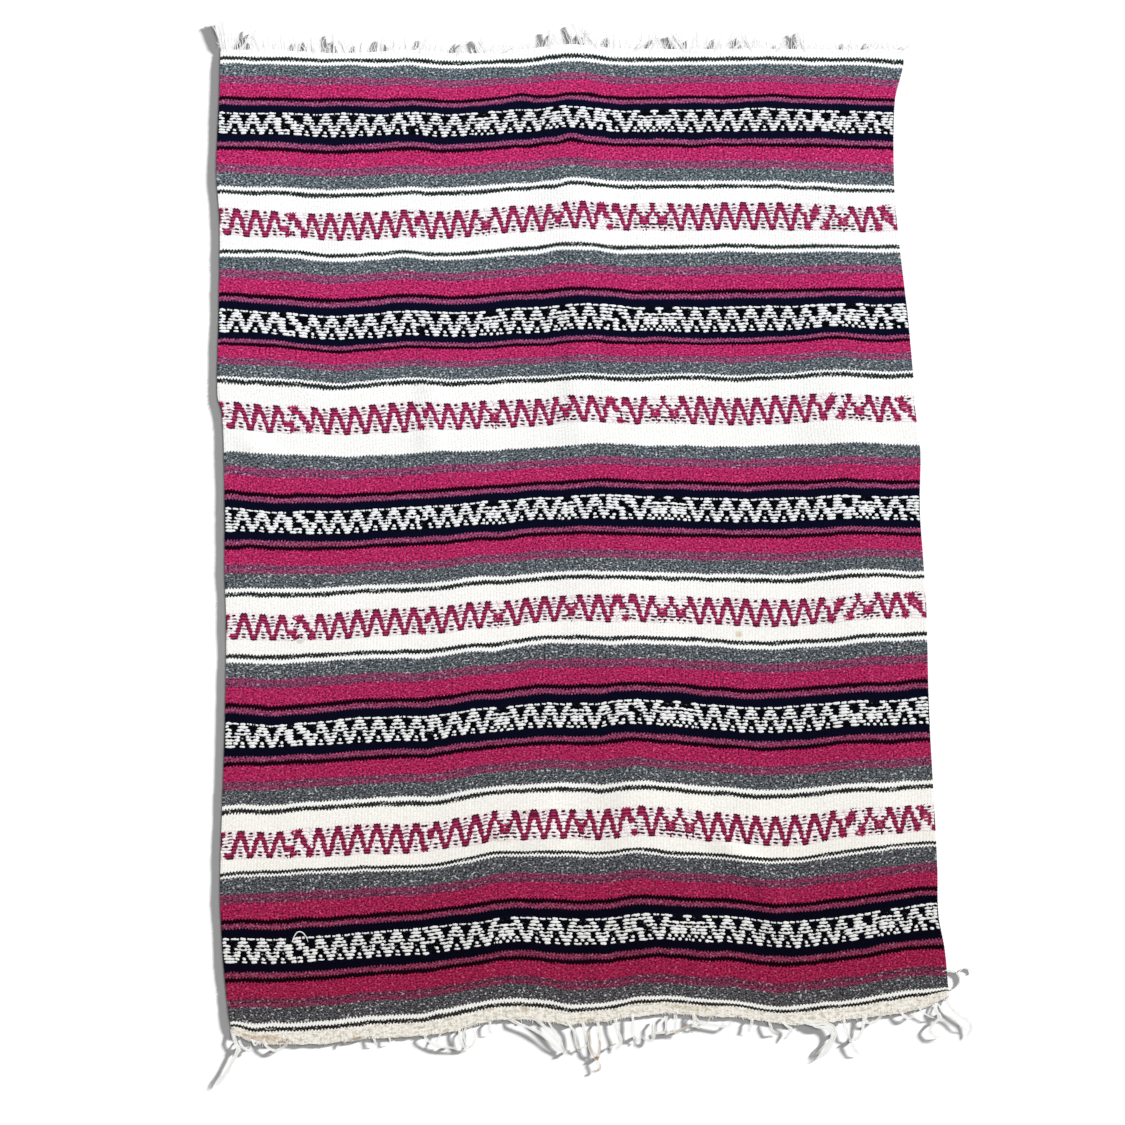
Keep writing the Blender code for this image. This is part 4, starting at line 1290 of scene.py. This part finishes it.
# %% A pile of yarns
class YarnPile:
    """Collects yarn tubes and makes them into one piece."""

    def __init__(self):
        self.points, self.faces, self.yarn, self.colour, self.thread = [], [], [], [], []
        self.total = 0

    def lay(self, path, radius, colour=0, tip=0.55, closed=False, flat=1.0):
        """One yarn along a path, thinner at its tip, its underside never below the floor."""
        path = np.asarray(path, float)
        count = len(path)
        along = np.concatenate([[0], np.cumsum(np.linalg.norm(np.diff(path, axis=0), axis=1))])
        heading = np.roll(path, -1, 0) - np.roll(path, 1, 0) if closed else np.gradient(path, axis=0)
        heading /= np.maximum(np.linalg.norm(heading, axis=1, keepdims=True), 1e-9)
        side = np.cross(heading, [0.0, 0.0, 1.0])
        side /= np.maximum(np.linalg.norm(side, axis=1, keepdims=True), 1e-9)
        up = np.cross(side, heading)
        share = along / along[-1]
        thick = radius * (1 - (1 - tip) * ease((share - 0.6) / 0.4)) if not closed else np.full(count, radius)
        angle = np.arange(SIDES) / SIDES * 2 * math.pi
        twist = 1 + PLY_DEPTH * np.cos(2 * angle[None, :] - 2 * math.pi * along[:, None] / (TWIST * MM))
        rings = (path[:, None] + side[:, None] * (np.cos(angle) * twist * thick[:, None])[..., None]
                 + up[:, None] * (np.sin(angle) * twist * thick[:, None] * flat)[..., None])
        rings[..., 2] = np.maximum(rings[..., 2], 0.02 * MM)
        index = np.arange(count * SIDES).reshape(count, SIDES) + self.total
        nxt = np.roll(index, -1, 1)
        rows = count if closed else count - 1
        lower, lower_next = np.roll(index, -1, 0)[:rows], np.roll(nxt, -1, 0)[:rows]
        faces = np.stack([index[:rows], nxt[:rows], lower_next, lower], -1).reshape(-1, 4)
        reached = np.append(along, along[-1] + 2 * MM)
        u = np.stack([along[:rows], along[:rows], reached[1:rows + 1], reached[1:rows + 1]], -1)
        u = np.repeat(u[:, None], SIDES, 1).reshape(-1, 4)
        edge = np.arange(SIDES)
        v = np.tile(np.stack([edge, edge + 1, edge + 1, edge], -1), (rows, 1)) / SIDES
        self.yarn.append(np.stack([u, v], -1).reshape(-1, 2))
        self.faces += faces.tolist()
        self.colour += [colour] * len(faces)
        if not closed:
            for cap in (index[0][::-1], index[-1]):
                self.faces.append(cap.tolist())
                self.colour.append(colour)
            self.yarn.append(np.tile([[0.0, 0.5]], (SIDES, 1)))
            self.yarn.append(np.tile([[along[-1], 0.5]], (SIDES, 1)))
        self.points.append(rings.reshape(-1, 3))
        self.thread.append(np.full(count * SIDES, chance.random()))
        self.total += count * SIDES

    def finish(self, name, down, materials):
        """The piece, its yarns aged as at this distance down the cloth."""
        yarn = np.concatenate(self.yarn)
        maps = {"yarn": yarn, "weave": np.tile([[0.0, down]], (len(yarn), 1))}
        made = make_piece(name, np.concatenate(self.points), self.faces, maps, materials, self.colour)
        number_points(made, "thread", np.concatenate(self.thread))
        return made


# %% Places in the chart
MIDDLE_STEP, TOP_STEP = 568, 50  # where the middle of the cloth's top edge lies in the chart


def charted(x, y, z):
    """A place in the solid's frame from the fringe chart's steps, with its height in millimetres."""
    return np.array([(x - MIDDLE_STEP) * STEP * MM, (TOP_STEP - y) * STEP * MM, z * MM]) - CENTRE


print("a chart step is", STEP, "mm")

# %% Fringe yarns
top_cotton = yarn_finish("white_warp_cotton", "ffffff", "fcfaf5", 0.08, twist=TWIST)
cream_cotton = yarn_finish("cream_warp_cotton", "ffffff", "fffefa", 0.06, twist=TWIST)
brown_cotton = yarn_finish("browned_warp_cotton", "c8a98c", "b99673", 0.5, twist=TWIST)
print("cottons:", top_cotton.name, cream_cotton.name, brown_cotton.name)

# %% [markdown]
# ## The top fringe
# The warp ends of the first woven edge stand out in tufts, up to about 45 mm long. The tufts are the
# solid's own; each of its strands becomes three finer yarns here. White on white, they hardly show.
# What shows is the shadow of the few strands that stand off the floor, so those have their own chart.

# %% Tufts of the top fringe
Tuft = namedtuple("Tuft", "start end strands length lean")
TUFTS = [
    Tuft(-627, -590, 5, 38, -14), Tuft(-590, -520, 7, 24, 4), Tuft(-520, -390, 13, 28, 6),
    Tuft(-390, -300, 9, 19, 6), Tuft(-300, -240, 6, 26, 14), Tuft(-240, -110, 12, 20, -8),
    Tuft(-110, -40, 7, 17, 4), Tuft(-40, 5, 4, 30, -8), Tuft(5, 62, 6, 36, 4),
    Tuft(62, 130, 7, 22, 5), Tuft(130, 235, 10, 34, 2), Tuft(235, 335, 10, 34, 12),
    Tuft(335, 435, 10, 26, 4), Tuft(435, 515, 8, 14, 0), Tuft(515, 604, 9, 20, -4),
]
YARN_RADIUS = 0.85 * MM
YARNS_A_STRAND = 3


def end_at(x, down):
    """The end number at which a weft this far down reaches x millimetres."""
    left, right = (float(weft_curve(side, np.array(down / MM))) for side in ("left", "right"))
    return (x - left) / (right - left) * ENDS


def wavy(start, lean, length, away, waves=1.6, sway=1.6 * MM, steps=9, rise=0.0):
    """A path that leaves its start, leaning to the right by so many degrees, and wavers."""
    phase = chance.uniform(0, 2 * math.pi)
    curl = chance.uniform(-25, 25)
    path, place = [], np.array(start, float)
    for i in range(steps + 1):
        s = i / steps
        path.append(place + np.array([math.sin(phase + s * waves * 2 * math.pi) * sway * s, 0.0,
                                      rise * math.sin(math.pi * s)]))
        aim = math.radians(lean + curl * s)
        place = place + np.array([math.sin(aim), away * math.cos(aim), 0.0]) * length / steps
    return path


# %% Strands that stand proud
# A strand for each row: millimetres from the middle, its lean, how far it reaches and how many yarns.
Proud = namedtuple("Proud", "x lean length yarns")
PROUD = [
    Proud(-628, -12, 40, 8), Proud(-598, 35, 34, 4), Proud(-560, -20, 17, 3), Proud(-491, 20, 10, 2),
    Proud(-462, -10, 14, 3), Proud(-427, 8, 26, 2), Proud(-403, -15, 17, 2), Proud(-377, 10, 8, 1),
    Proud(-340, 10, 15, 3), Proud(-315, 0, 8, 1), Proud(-272, 30, 17, 3), Proud(-203, 25, 17, 4),
    Proud(-149, -20, 19, 3), Proud(-122, 60, 10, 3), Proud(-38, 12, 20, 4), Proud(25, -25, 32, 3),
    Proud(21, 30, 18, 2), Proud(51, -30, 22, 4), Proud(82, 5, 17, 2), Proud(117, 50, 14, 4),
    Proud(147, 35, 19, 2), Proud(210, -30, 24, 4), Proud(220, 25, 14, 2), Proud(264, 30, 17, 3),
    Proud(295, 45, 22, 4), Proud(331, -25, 17, 3), Proud(377, 40, 6, 3), Proud(427, -10, 25, 3),
    Proud(508, 20, 8, 1), Proud(540, 40, 12, 2), Proud(603, 40, 10, 2),
]
PROUD_ROOT = 17  # millimetres of each strand that lie before it shows
PROUD_LIFT, PROUD_RISE, PROUD_APART, PROUD_RADIUS = 1.8 * MM, 1.3 * MM, 1.5 * MM, 1.0 * MM


def proud_strands():
    """The strands that stand off the floor."""
    pile = YarnPile()
    for strand in PROUD:
        root = on_cloth(end_at(strand.x, 0.0), 4 * MM, False)
        for number in range(strand.yarns):
            start = root + [number * PROUD_APART, 0, PROUD_LIFT]
            length = (strand.length + PROUD_ROOT) * MM
            path = wavy(start, strand.lean + chance.gauss(0, 2), length, 1, sway=0.8 * MM)
            path = smooth_path(path, 2.0 * MM)
            path[:, 2] += PROUD_RISE * ease(np.linspace(0, 1, len(path)) / 0.35)
            pile.lay(path, PROUD_RADIUS)
    return pile.finish("top_fringe_proud", 0.0, [top_cotton])


# %% Top fringe
def top_fringe():
    """White yarn ends in the solid's tufts."""
    pile = YarnPile()
    for tuft in TUFTS:
        yarns = tuft.strands * YARNS_A_STRAND
        for i in range(yarns):
            x = tuft.start + (i + 0.5 + chance.uniform(-0.4, 0.4)) * (tuft.end - tuft.start) / yarns
            root = on_cloth(end_at(x, 0.0), 5 * MM, False)
            root[2] = chance.uniform(0.9, 1.5) * MM
            length = (tuft.length * chance.uniform(0.45, 1.1) + 5) * MM
            lean = tuft.lean + chance.gauss(0, 16)
            path = smooth_path(wavy(root, lean, length, 1, rise=chance.uniform(0, 0.8) * MM), 2.2 * MM)
            pile.lay(path, YARN_RADIUS * chance.uniform(0.75, 1.1))
    return pile.finish("top_fringe_yarns", 0.0, [top_cotton])


fringe_top = top_fringe()
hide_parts("fringe_top")
fringe_proud = proud_strands()

# %% [markdown]
# ## The bottom fringe
# Here each lock has its own story: a thin rope at the left corner, loops that catch their neighbours,
# three long strands that meet, a knotted tassel, a big one that curls back, and a tangle at the right
# corner. They are charted one by one, in steps from the top left of the picture. Every lock is laid as
# several thin, flattened yarns side by side, held a few millimetres off the floor, so that each throws
# a narrow shadow of its own beside it.

# %% Chart of the bottom fringe
Lock = namedtuple("Lock", "yarns radius brown points")
LOCKS = [
    Lock(3, 0.9, 0, [(232, 1029), (235, 1040), (238, 1049), (233, 1061), (226, 1073), (220, 1081),
         (213, 1088)]),
    Lock(1, 0.8, 0, [(238, 1049), (234, 1060), (228, 1072), (221, 1077), (216, 1079)]),
    Lock(2, 0.9, 0, [(239, 1040), (243, 1047), (250, 1050), (250, 1043)]),
    Lock(1, 0.9, 0, [(252, 1038), (255, 1045), (259, 1041)]),
    Lock(2, 0.9, 0, [(263, 1036), (266, 1045), (271, 1049), (275, 1050.5), (282, 1048), (287, 1043),
         (289, 1037)]),
    Lock(2, 0.9, 1, [(283, 1035), (285, 1041), (284, 1044)]),
    Lock(2, 0.9, 1, [(346, 1036), (345, 1042), (342, 1044)]),
    Lock(2, 0.9, 0, [(373, 1034), (375, 1041), (376, 1045)]),
    Lock(1, 0.9, 0, [(389, 1034), (390, 1040), (392, 1043)]),
    Lock(2, 0.9, 0, [(424, 1030), (426, 1038), (431, 1042), (440, 1046), (447, 1047), (455, 1048),
         (463, 1050)]),
    Lock(1, 0.9, 0, [(442, 1027), (440, 1035), (437, 1042), (443, 1047)]),
    Lock(2, 0.9, 0, [(459, 1026), (460, 1036), (463, 1045), (467, 1048), (473, 1047)]),
    Lock(1, 0.9, 0, [(467, 1026), (464, 1034), (466, 1044), (471, 1046), (475, 1040), (474, 1032),
         (470, 1026)]),
    Lock(2, 0.9, 0, [(490, 1021), (490, 1028), (491, 1034)]),
    Lock(2, 1.0, 0, [(508, 1018), (518, 1023), (535, 1030), (547, 1038), (557, 1047), (564, 1056)]),
    Lock(2, 1.0, 0, [(533, 1016), (545, 1027), (557, 1039), (561, 1045), (564, 1051)]),
    Lock(1, 1.0, 0, [(546, 1016), (553, 1030), (562, 1045), (565, 1055)]),
    Lock(2, 1.0, 0, [(565, 1017), (570, 1025), (574, 1031), (576, 1043), (579, 1052)]),
    Lock(3, 1.0, 1, [(582, 1020), (585, 1029), (587, 1035), (590, 1048), (594, 1055), (597, 1058)]),
    Lock(2, 1.0, 1, [(598, 1021), (599, 1032), (600, 1045), (599, 1053), (597, 1060)]),
    Lock(2, 0.9, 1, [(596, 1058), (599, 1063), (600, 1068), (597, 1070), (592, 1072)]),
    Lock(1, 0.9, 0, [(587, 1045), (581, 1048), (576, 1047)]),
    Lock(2, 1.0, 0, [(615, 1016), (617, 1028), (621, 1039), (619, 1046), (615, 1050)]),
    Lock(1, 0.9, 1, [(609, 1048), (613, 1045), (617, 1043)]),
    Lock(2, 1.0, 0, [(632, 1012), (633, 1022), (633, 1031), (635, 1036), (638, 1039), (636, 1043)]),
    Lock(2, 1.0, 0, [(654, 1021), (654, 1032), (652, 1040), (646, 1039), (640, 1036)]),
    Lock(2, 1.0, 0, [(666, 1016), (666, 1026), (666, 1035)]),
    Lock(2, 1.0, 0, [(675, 1014), (676, 1023), (675, 1031), (679, 1034)]),
    Lock(2, 0.9, 1, [(655, 1033), (665, 1032), (675, 1031), (686, 1027), (696, 1023)]),
    Lock(2, 1.0, 0, [(693, 1012), (694, 1018), (695, 1025), (700, 1028)]),
    Lock(1, 0.9, 0, [(694, 1015), (699, 1021), (706, 1022), (711, 1017)]),
    Lock(2, 1.0, 0, [(696, 1022), (710, 1024), (724, 1026), (730, 1024), (731, 1017)]),
    Lock(2, 1.0, 0, [(752, 1018), (751, 1025), (748, 1032)]),
    Lock(2, 0.9, 0, [(768, 1019), (771, 1027), (773, 1031), (779, 1033)]),
    Lock(2, 0.9, 0, [(780, 1019), (786, 1025), (791, 1029), (788, 1035), (783, 1040)]),
    Lock(3, 1.1, 0, [(800, 1019), (812, 1023), (824, 1023), (832, 1027), (834, 1034), (831, 1043),
         (826, 1051), (818, 1057), (811, 1061)]),
    Lock(2, 1.0, 0, [(806, 1019), (816, 1026), (827, 1027), (832, 1033), (830, 1041), (822, 1048),
         (816, 1056)]),
    Lock(2, 1.0, 0, [(843, 1015), (845, 1026), (849, 1037), (851, 1041)]),
    Lock(2, 1.0, 0, [(864, 1012), (863, 1023), (862, 1031), (857, 1038), (851, 1041)]),
    Lock(2, 0.9, 0, [(851, 1041), (855, 1048), (859, 1055)]),
    Lock(2, 1.0, 0, [(864, 1015), (867, 1022), (874, 1022), (880, 1016), (879, 1010)]),
    Lock(2, 1.0, 0, [(899, 1005), (901, 1012), (906, 1017), (912, 1016), (916, 1011)]),
    Lock(1, 0.9, 0, [(916, 1005), (924, 1013), (935, 1019)]),
    Lock(2, 1.0, 0, [(934, 1004), (937, 1012), (940, 1018), (936, 1021), (930, 1029), (936, 1036),
         (945, 1036)]),
    Lock(2, 1.0, 0, [(946, 998), (952, 1008), (961, 1015), (969, 1021), (971, 1029), (966, 1037)]),
    Lock(1, 1.0, 0, [(938, 1004), (944, 1013), (954, 1018), (962, 1026), (969, 1031)]),
]

# A knot for each row: its middle, its size across in millimetres, and which cotton it is tied in.
Knot = namedtuple("Knot", "x y size brown")
KNOTS = [
    Knot(238, 1049, 7, 0), Knot(447, 1047, 6, 0), Knot(597, 1058, 8, 1), Knot(635, 1037, 7, 0),
    Knot(565, 1052, 5, 0), Knot(851, 1041, 8, 0), Knot(939, 1015, 8, 0), Knot(834, 1034, 7, 0),
    Knot(666, 1032, 6, 1), Knot(274, 1050, 5, 0),
]
print(len(LOCKS), "locks and", len(KNOTS), "knots")


# %% Locks of yarn
LOCK_YARN = 0.52  # the radius of each yarn for the radius of its lock
LOCK_HEIGHT = 1.3  # millimetres that the two ends of a lock are held above the floor
LOCK_LIFT = 1.6  # millimetres that its middle is held above that
LOCK_SWAY = 0.40 * MM
LOCK_FLAT = 0.6  # how thick the yarns are for their width, as loose cotton lies flat
FLAT_STEP = 1.8 * MM  # how finely the paths of the lying yarns are cut


def lay_lock(pile, lock):
    """Several thin yarns side by side along a lock's path, wandering a little and held off the floor."""
    flat = [charted(x, y, 0.0) for x, y in lock.points]
    radius = LOCK_YARN * lock.radius * MM
    yarns = 2 * lock.yarns + 2
    for number in range(yarns):
        side = number - (yarns - 1) / 2
        path = smooth_path(flat, FLAT_STEP)
        heading = np.gradient(path, axis=0)
        heading /= np.linalg.norm(heading, axis=1, keepdims=True)
        share = np.linspace(0, 1, len(path))
        phase = chance.uniform(0, 6.28)
        close = 1 - 0.25 * np.sin(share * (2 + len(path) * 0.09) + lock.points[0][0]) ** 2
        sway = side * 2.0 * radius * close + LOCK_SWAY * np.sin(share * 9 + phase)
        path[:, 0] += -heading[:, 1] * sway
        path[:, 1] += heading[:, 0] * sway
        held = ease(share / 0.15) * (1 - 0.8 * ease((share - 0.75) / 0.25))
        path[:, 2] = radius + (LOCK_HEIGHT + LOCK_LIFT * held + 0.12 * np.sin(share * 7 + phase)) * MM
        keep = len(path) - chance.randint(0, max(1, len(path) // 8))
        browned = lock.brown and number % 2
        from_here = int(keep * chance.uniform(0.3, 0.6)) if browned else keep
        white = path[:from_here + 1] if browned else path[:keep]
        pile.lay(white, radius * chance.uniform(0.85, 1.15), 0, tip=0.9 if browned else 0.55, flat=LOCK_FLAT)
        if browned:
            pile.lay(path[from_here:keep], radius * chance.uniform(0.8, 1.0), 1, flat=LOCK_FLAT)


# %% Knots
def tie_knot(pile, knot):
    """A small overhand knot: one closed yarn that passes through itself."""
    t = np.linspace(0, 2 * math.pi, 34, endpoint=False)
    size = knot.size * MM / 6
    turn = chance.uniform(0, 6.28)
    x = (np.sin(t) + 2 * np.sin(2 * t)) * size * 0.9
    y = (np.cos(t) - 2 * np.cos(2 * t)) * size * 0.9
    z = 2.3 * MM - np.sin(3 * t) * 0.9 * MM
    place = charted(knot.x, knot.y, 0.0)
    path = np.stack([place[0] + x * math.cos(turn) - y * math.sin(turn),
                     place[1] + x * math.sin(turn) + y * math.cos(turn), z], -1)
    pile.lay(path, 0.9 * MM, knot.brown, closed=True)


# %% Bottom fringe
def bottom_fringe():
    """Locks, knots and the short cut ends between them."""
    pile = YarnPile()
    for lock in LOCKS:
        lay_lock(pile, lock)
    for knot in KNOTS:
        tie_knot(pile, knot)
    for end in range(ENDS):
        for half in (0.25, 0.75):
            root = on_cloth(end + half, CLOTH_LENGTH - 4 * MM, False)
            root[2] = chance.uniform(1.0, 1.6) * MM
            length = (4.4 + chance.uniform(0, 1.4) + 4 * (chance.random() > 0.95)) * MM
            path = wavy(root, chance.gauss(0, 14), length, -1, sway=0.3 * MM, steps=3)
            radius = YARN_RADIUS * chance.uniform(0.85, 1.1)
            pile.lay(smooth_path(path, FLAT_STEP), radius, int(chance.random() > 0.975))
    return pile.finish("bottom_fringe_yarns", CLOTH_LENGTH, [cream_cotton, brown_cotton])


fringe_bottom = bottom_fringe()
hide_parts("fringe_bottom")

# %% [markdown]
# ## Loose yarn
# A loop of white weft has pulled free near the left of the last zigzag, and a warp yarn hangs off the
# right selvedge above the corner. Both are single yarns that lie on the cloth or the floor.

# %% Loose yarns
loose = YarnPile()
strand = [on_cloth(e, d * MM, False) + [0, 0, (2.5 + h) * MM] for e, d, h in (
    (21.5, 1588, 1.0), (22.3, 1577, 2.6), (23.4, 1571, 3.4), (24.8, 1572, 3.2), (25.9, 1580, 2.4),
    (26.4, 1590, 0.9))]
loose.lay(smooth_path(strand, FLAT_STEP), 1.0 * MM)
off_edge = [charted(x, y, z) for x, y, z in (
    (941, 972, 2.0), (947, 970, 2.4), (954, 971, 1.6), (959, 975, 1.3), (960, 982, 1.3),
    (955, 988, 1.6), (948, 990, 2.0))]
loose.lay(smooth_path(off_edge, FLAT_STEP), 1.0 * MM)
curl = [charted(x, y, z) for x, y, z in ((957, 973, 1.9), (964, 968, 1.4), (970, 969, 1.3), (972, 973, 1.3))]
loose.lay(smooth_path(curl, FLAT_STEP), 0.9 * MM)
loose_yarn = loose.finish("loose_yarns", 1.6, [cream_cotton])

# %% [markdown]
# ## Selvedges
# At each side the weft turns round the outermost warp and goes back, which leaves a knobbly cord of
# small turns. It takes the colour of whatever stripe it belongs to, so it wears the same striped wool.


# %% Selvedge cords
CORD_SIDES = 7
CORD, CORD_TURN, CORD_LUCK = 1.15, 0.45, 0.18  # its radius in millimetres, and what a turn and luck add
CORD_IN, CORD_UP = 0.6, 1.6  # millimetres that its middle lies inside the edge and above the floor
CORD_STEP = 1.45 * MM


def selvedge(name, end, outward):
    """A knobbly cord of weft turns along one side of the cloth."""
    down = np.arange(3 * MM, CLOTH_LENGTH - 3 * MM, CORD_STEP)
    place = on_cloth(np.full(len(down), end), down)
    luck = np.random.default_rng(SEED + end).uniform(-1, 1, len(down))
    turn = 0.5 + 0.5 * np.cos(down / MM / PICK * math.pi)
    radius = (CORD + CORD_TURN * turn + CORD_LUCK * luck) * MM
    angle = np.arange(CORD_SIDES) / CORD_SIDES * 2 * math.pi
    centre = place + np.array([outward * -CORD_IN * MM, 0, CORD_UP * MM])
    circle = np.stack([np.cos(angle), angle * 0, np.sin(angle) * 0.95], -1)
    rings = centre[:, None] + radius[:, None, None] * circle
    rings[..., 2] = np.maximum(rings[..., 2], 0.05 * MM)
    count = len(down)
    index = np.arange(count * CORD_SIDES).reshape(count, CORD_SIDES)
    nxt = np.roll(index, -1, 1)
    faces = np.stack([index[:-1], index[1:], nxt[1:], nxt[:-1]], -1).reshape(-1, 4)
    seam = CORD_SIDES + 1
    weave_end = np.full((count, seam), end + (0.4 if end == 0 else -0.4)) + np.linspace(0, 0.3, seam)
    weave = np.stack([weave_end, np.repeat(down[:, None], seam, 1)], -1)
    bands = np.stack([stripe_place(weave[..., 1]), from_hat(weave_end - 0.5)], -1)
    around = np.broadcast_to(np.arange(seam) / CORD_SIDES, (count, seam))
    bake = 0.02 + 0.96 * np.stack([weave[..., 1] / CLOTH_LENGTH, around], -1)
    grid = np.arange(count * seam).reshape(count, seam)
    corner = np.stack([grid[:-1, :-1], grid[1:, :-1], grid[1:, 1:], grid[:-1, 1:]], -1).reshape(-1)
    caps = [index[0].tolist(), index[-1][::-1].tolist()]
    maps = {key: np.concatenate([value.reshape(-1, 2)[corner], value[0, :-1], value[-1, :-1]])
            for key, value in (("weave", weave), ("bands", bands), ("OFBake", bake))}
    made = make_piece(name, rings.reshape(-1, 3), faces.tolist() + caps, maps, [wool])
    return made


left_edge = selvedge("selvedge_left", 0, -1)
right_edge = selvedge("selvedge_right", ENDS, 1)

# %% [markdown]
# ## What the cloth is
# The blanket was woven 1.27 m wide and 1.77 m long and is laid flat; the zigzags, selvedges and yarns
# are parts of it.

print("declared", cloth.name)

# %% [markdown]
# ## Floor, light and camera
# The picture was taken from straight above on a white ground, in even light from the upper right, with
# a soft shadow falling to the lower left. One broad lamp and a white sky light the cloth. A low sun
# throws the shadow. Only the floor receives that sun, and only the cloth, its selvedges, the lower
# fringe, the strands that stand proud and the loose yarn block it.


# %% Floor
def make_floor():
    """A large plain floor, pale and very slightly uneven in tone."""
    mesh = bpy.data.meshes.new("floor")
    reach = 6.0
    corners = [(-reach, -reach, 0), (reach, -reach, 0), (reach, reach, 0), (-reach, reach, 0)]
    mesh.from_pydata(corners, [], [(0, 1, 2, 3)])
    material, t, shader = new_finish("floor_paper", 0.9)
    spot = add(t, "TexCoord").outputs["Object"]
    cloud = add(t, "TexNoise", {"Vector": spot, "Scale": 1.5, "Detail": 2.0}).outputs[0]
    join(t, shader.inputs["Base Color"], blended(t, cloud, (0.25, 0.25, 0.25, 1), (0.28, 0.28, 0.28, 1)))
    mesh.materials.append(material)
    made = bpy.data.objects.new("floor", mesh)
    bpy.context.scene.collection.objects.link(made)
    return made


floor = make_floor()


# %% Lamps
def aim(thing, at):
    """Turns a lamp or camera to look at a place."""
    thing.rotation_euler = (Vector(at) - thing.location).to_track_quat("-Z", "Y").to_euler()


def far_lamp(name, place, energy, spread):
    """A lamp so far away that its light is even, with edges softened by its spread in degrees."""
    lamp = bpy.data.lights.new(name, "SUN")
    lamp.energy, lamp.angle = energy, math.radians(spread)
    made = bpy.data.objects.new(name, lamp)
    bpy.context.scene.collection.objects.link(made)
    made.location = place
    aim(made, (0, 0, 0))
    return made


SKY = 0.60
KEY = 2.9
LOW_SUN = 63.0
far_lamp("window_light", (4.0, 3.6, 4.2), KEY, 30)
low_sun = far_lamp("low_sun", (20.0, 10.9, 3.4), LOW_SUN, 3)
lit_by_sun = bpy.data.collections.new("floor_only")
lit_by_sun.objects.link(floor)
low_sun.light_linking.receiver_collection = lit_by_sun
throws_shadow = bpy.data.collections.new("throws_shadow")
for piece in (cloth, left_edge, right_edge, fringe_bottom, fringe_proud, loose_yarn):
    throws_shadow.objects.link(piece)
low_sun.light_linking.blocker_collection = throws_shadow

sky = bpy.data.worlds.new("white_studio")
bpy.context.scene.world = sky
sky.use_nodes = True
white = sky.node_tree.nodes["Background"]
white.inputs["Color"].default_value = (1.0, 1.0, 1.0, 1.0)
white.inputs["Strength"].default_value = SKY
print("window", KEY, "and sky", SKY)

# %% Camera
PICTURE = 1125  # steps across the square picture
VIEW_WIDTH = PICTURE * STEP * MM
LENS, FILM = 85.0, 36.0
camera_data = bpy.data.cameras.new("camera")
camera_data.lens, camera_data.sensor_width = LENS, FILM
camera = bpy.data.objects.new("camera", camera_data)
bpy.context.scene.collection.objects.link(camera)
middle = charted(PICTURE / 2, PICTURE / 2, 0.0)
camera.location = (middle[0], middle[1], VIEW_WIDTH * LENS / FILM)
bpy.context.scene.camera = camera
bpy.context.scene.view_settings.view_transform = "Standard"
bpy.context.scene.view_settings.look = "None"
print("camera", [round(v, 3) for v in camera.location], "sees", round(VIEW_WIDTH, 3), "m across")
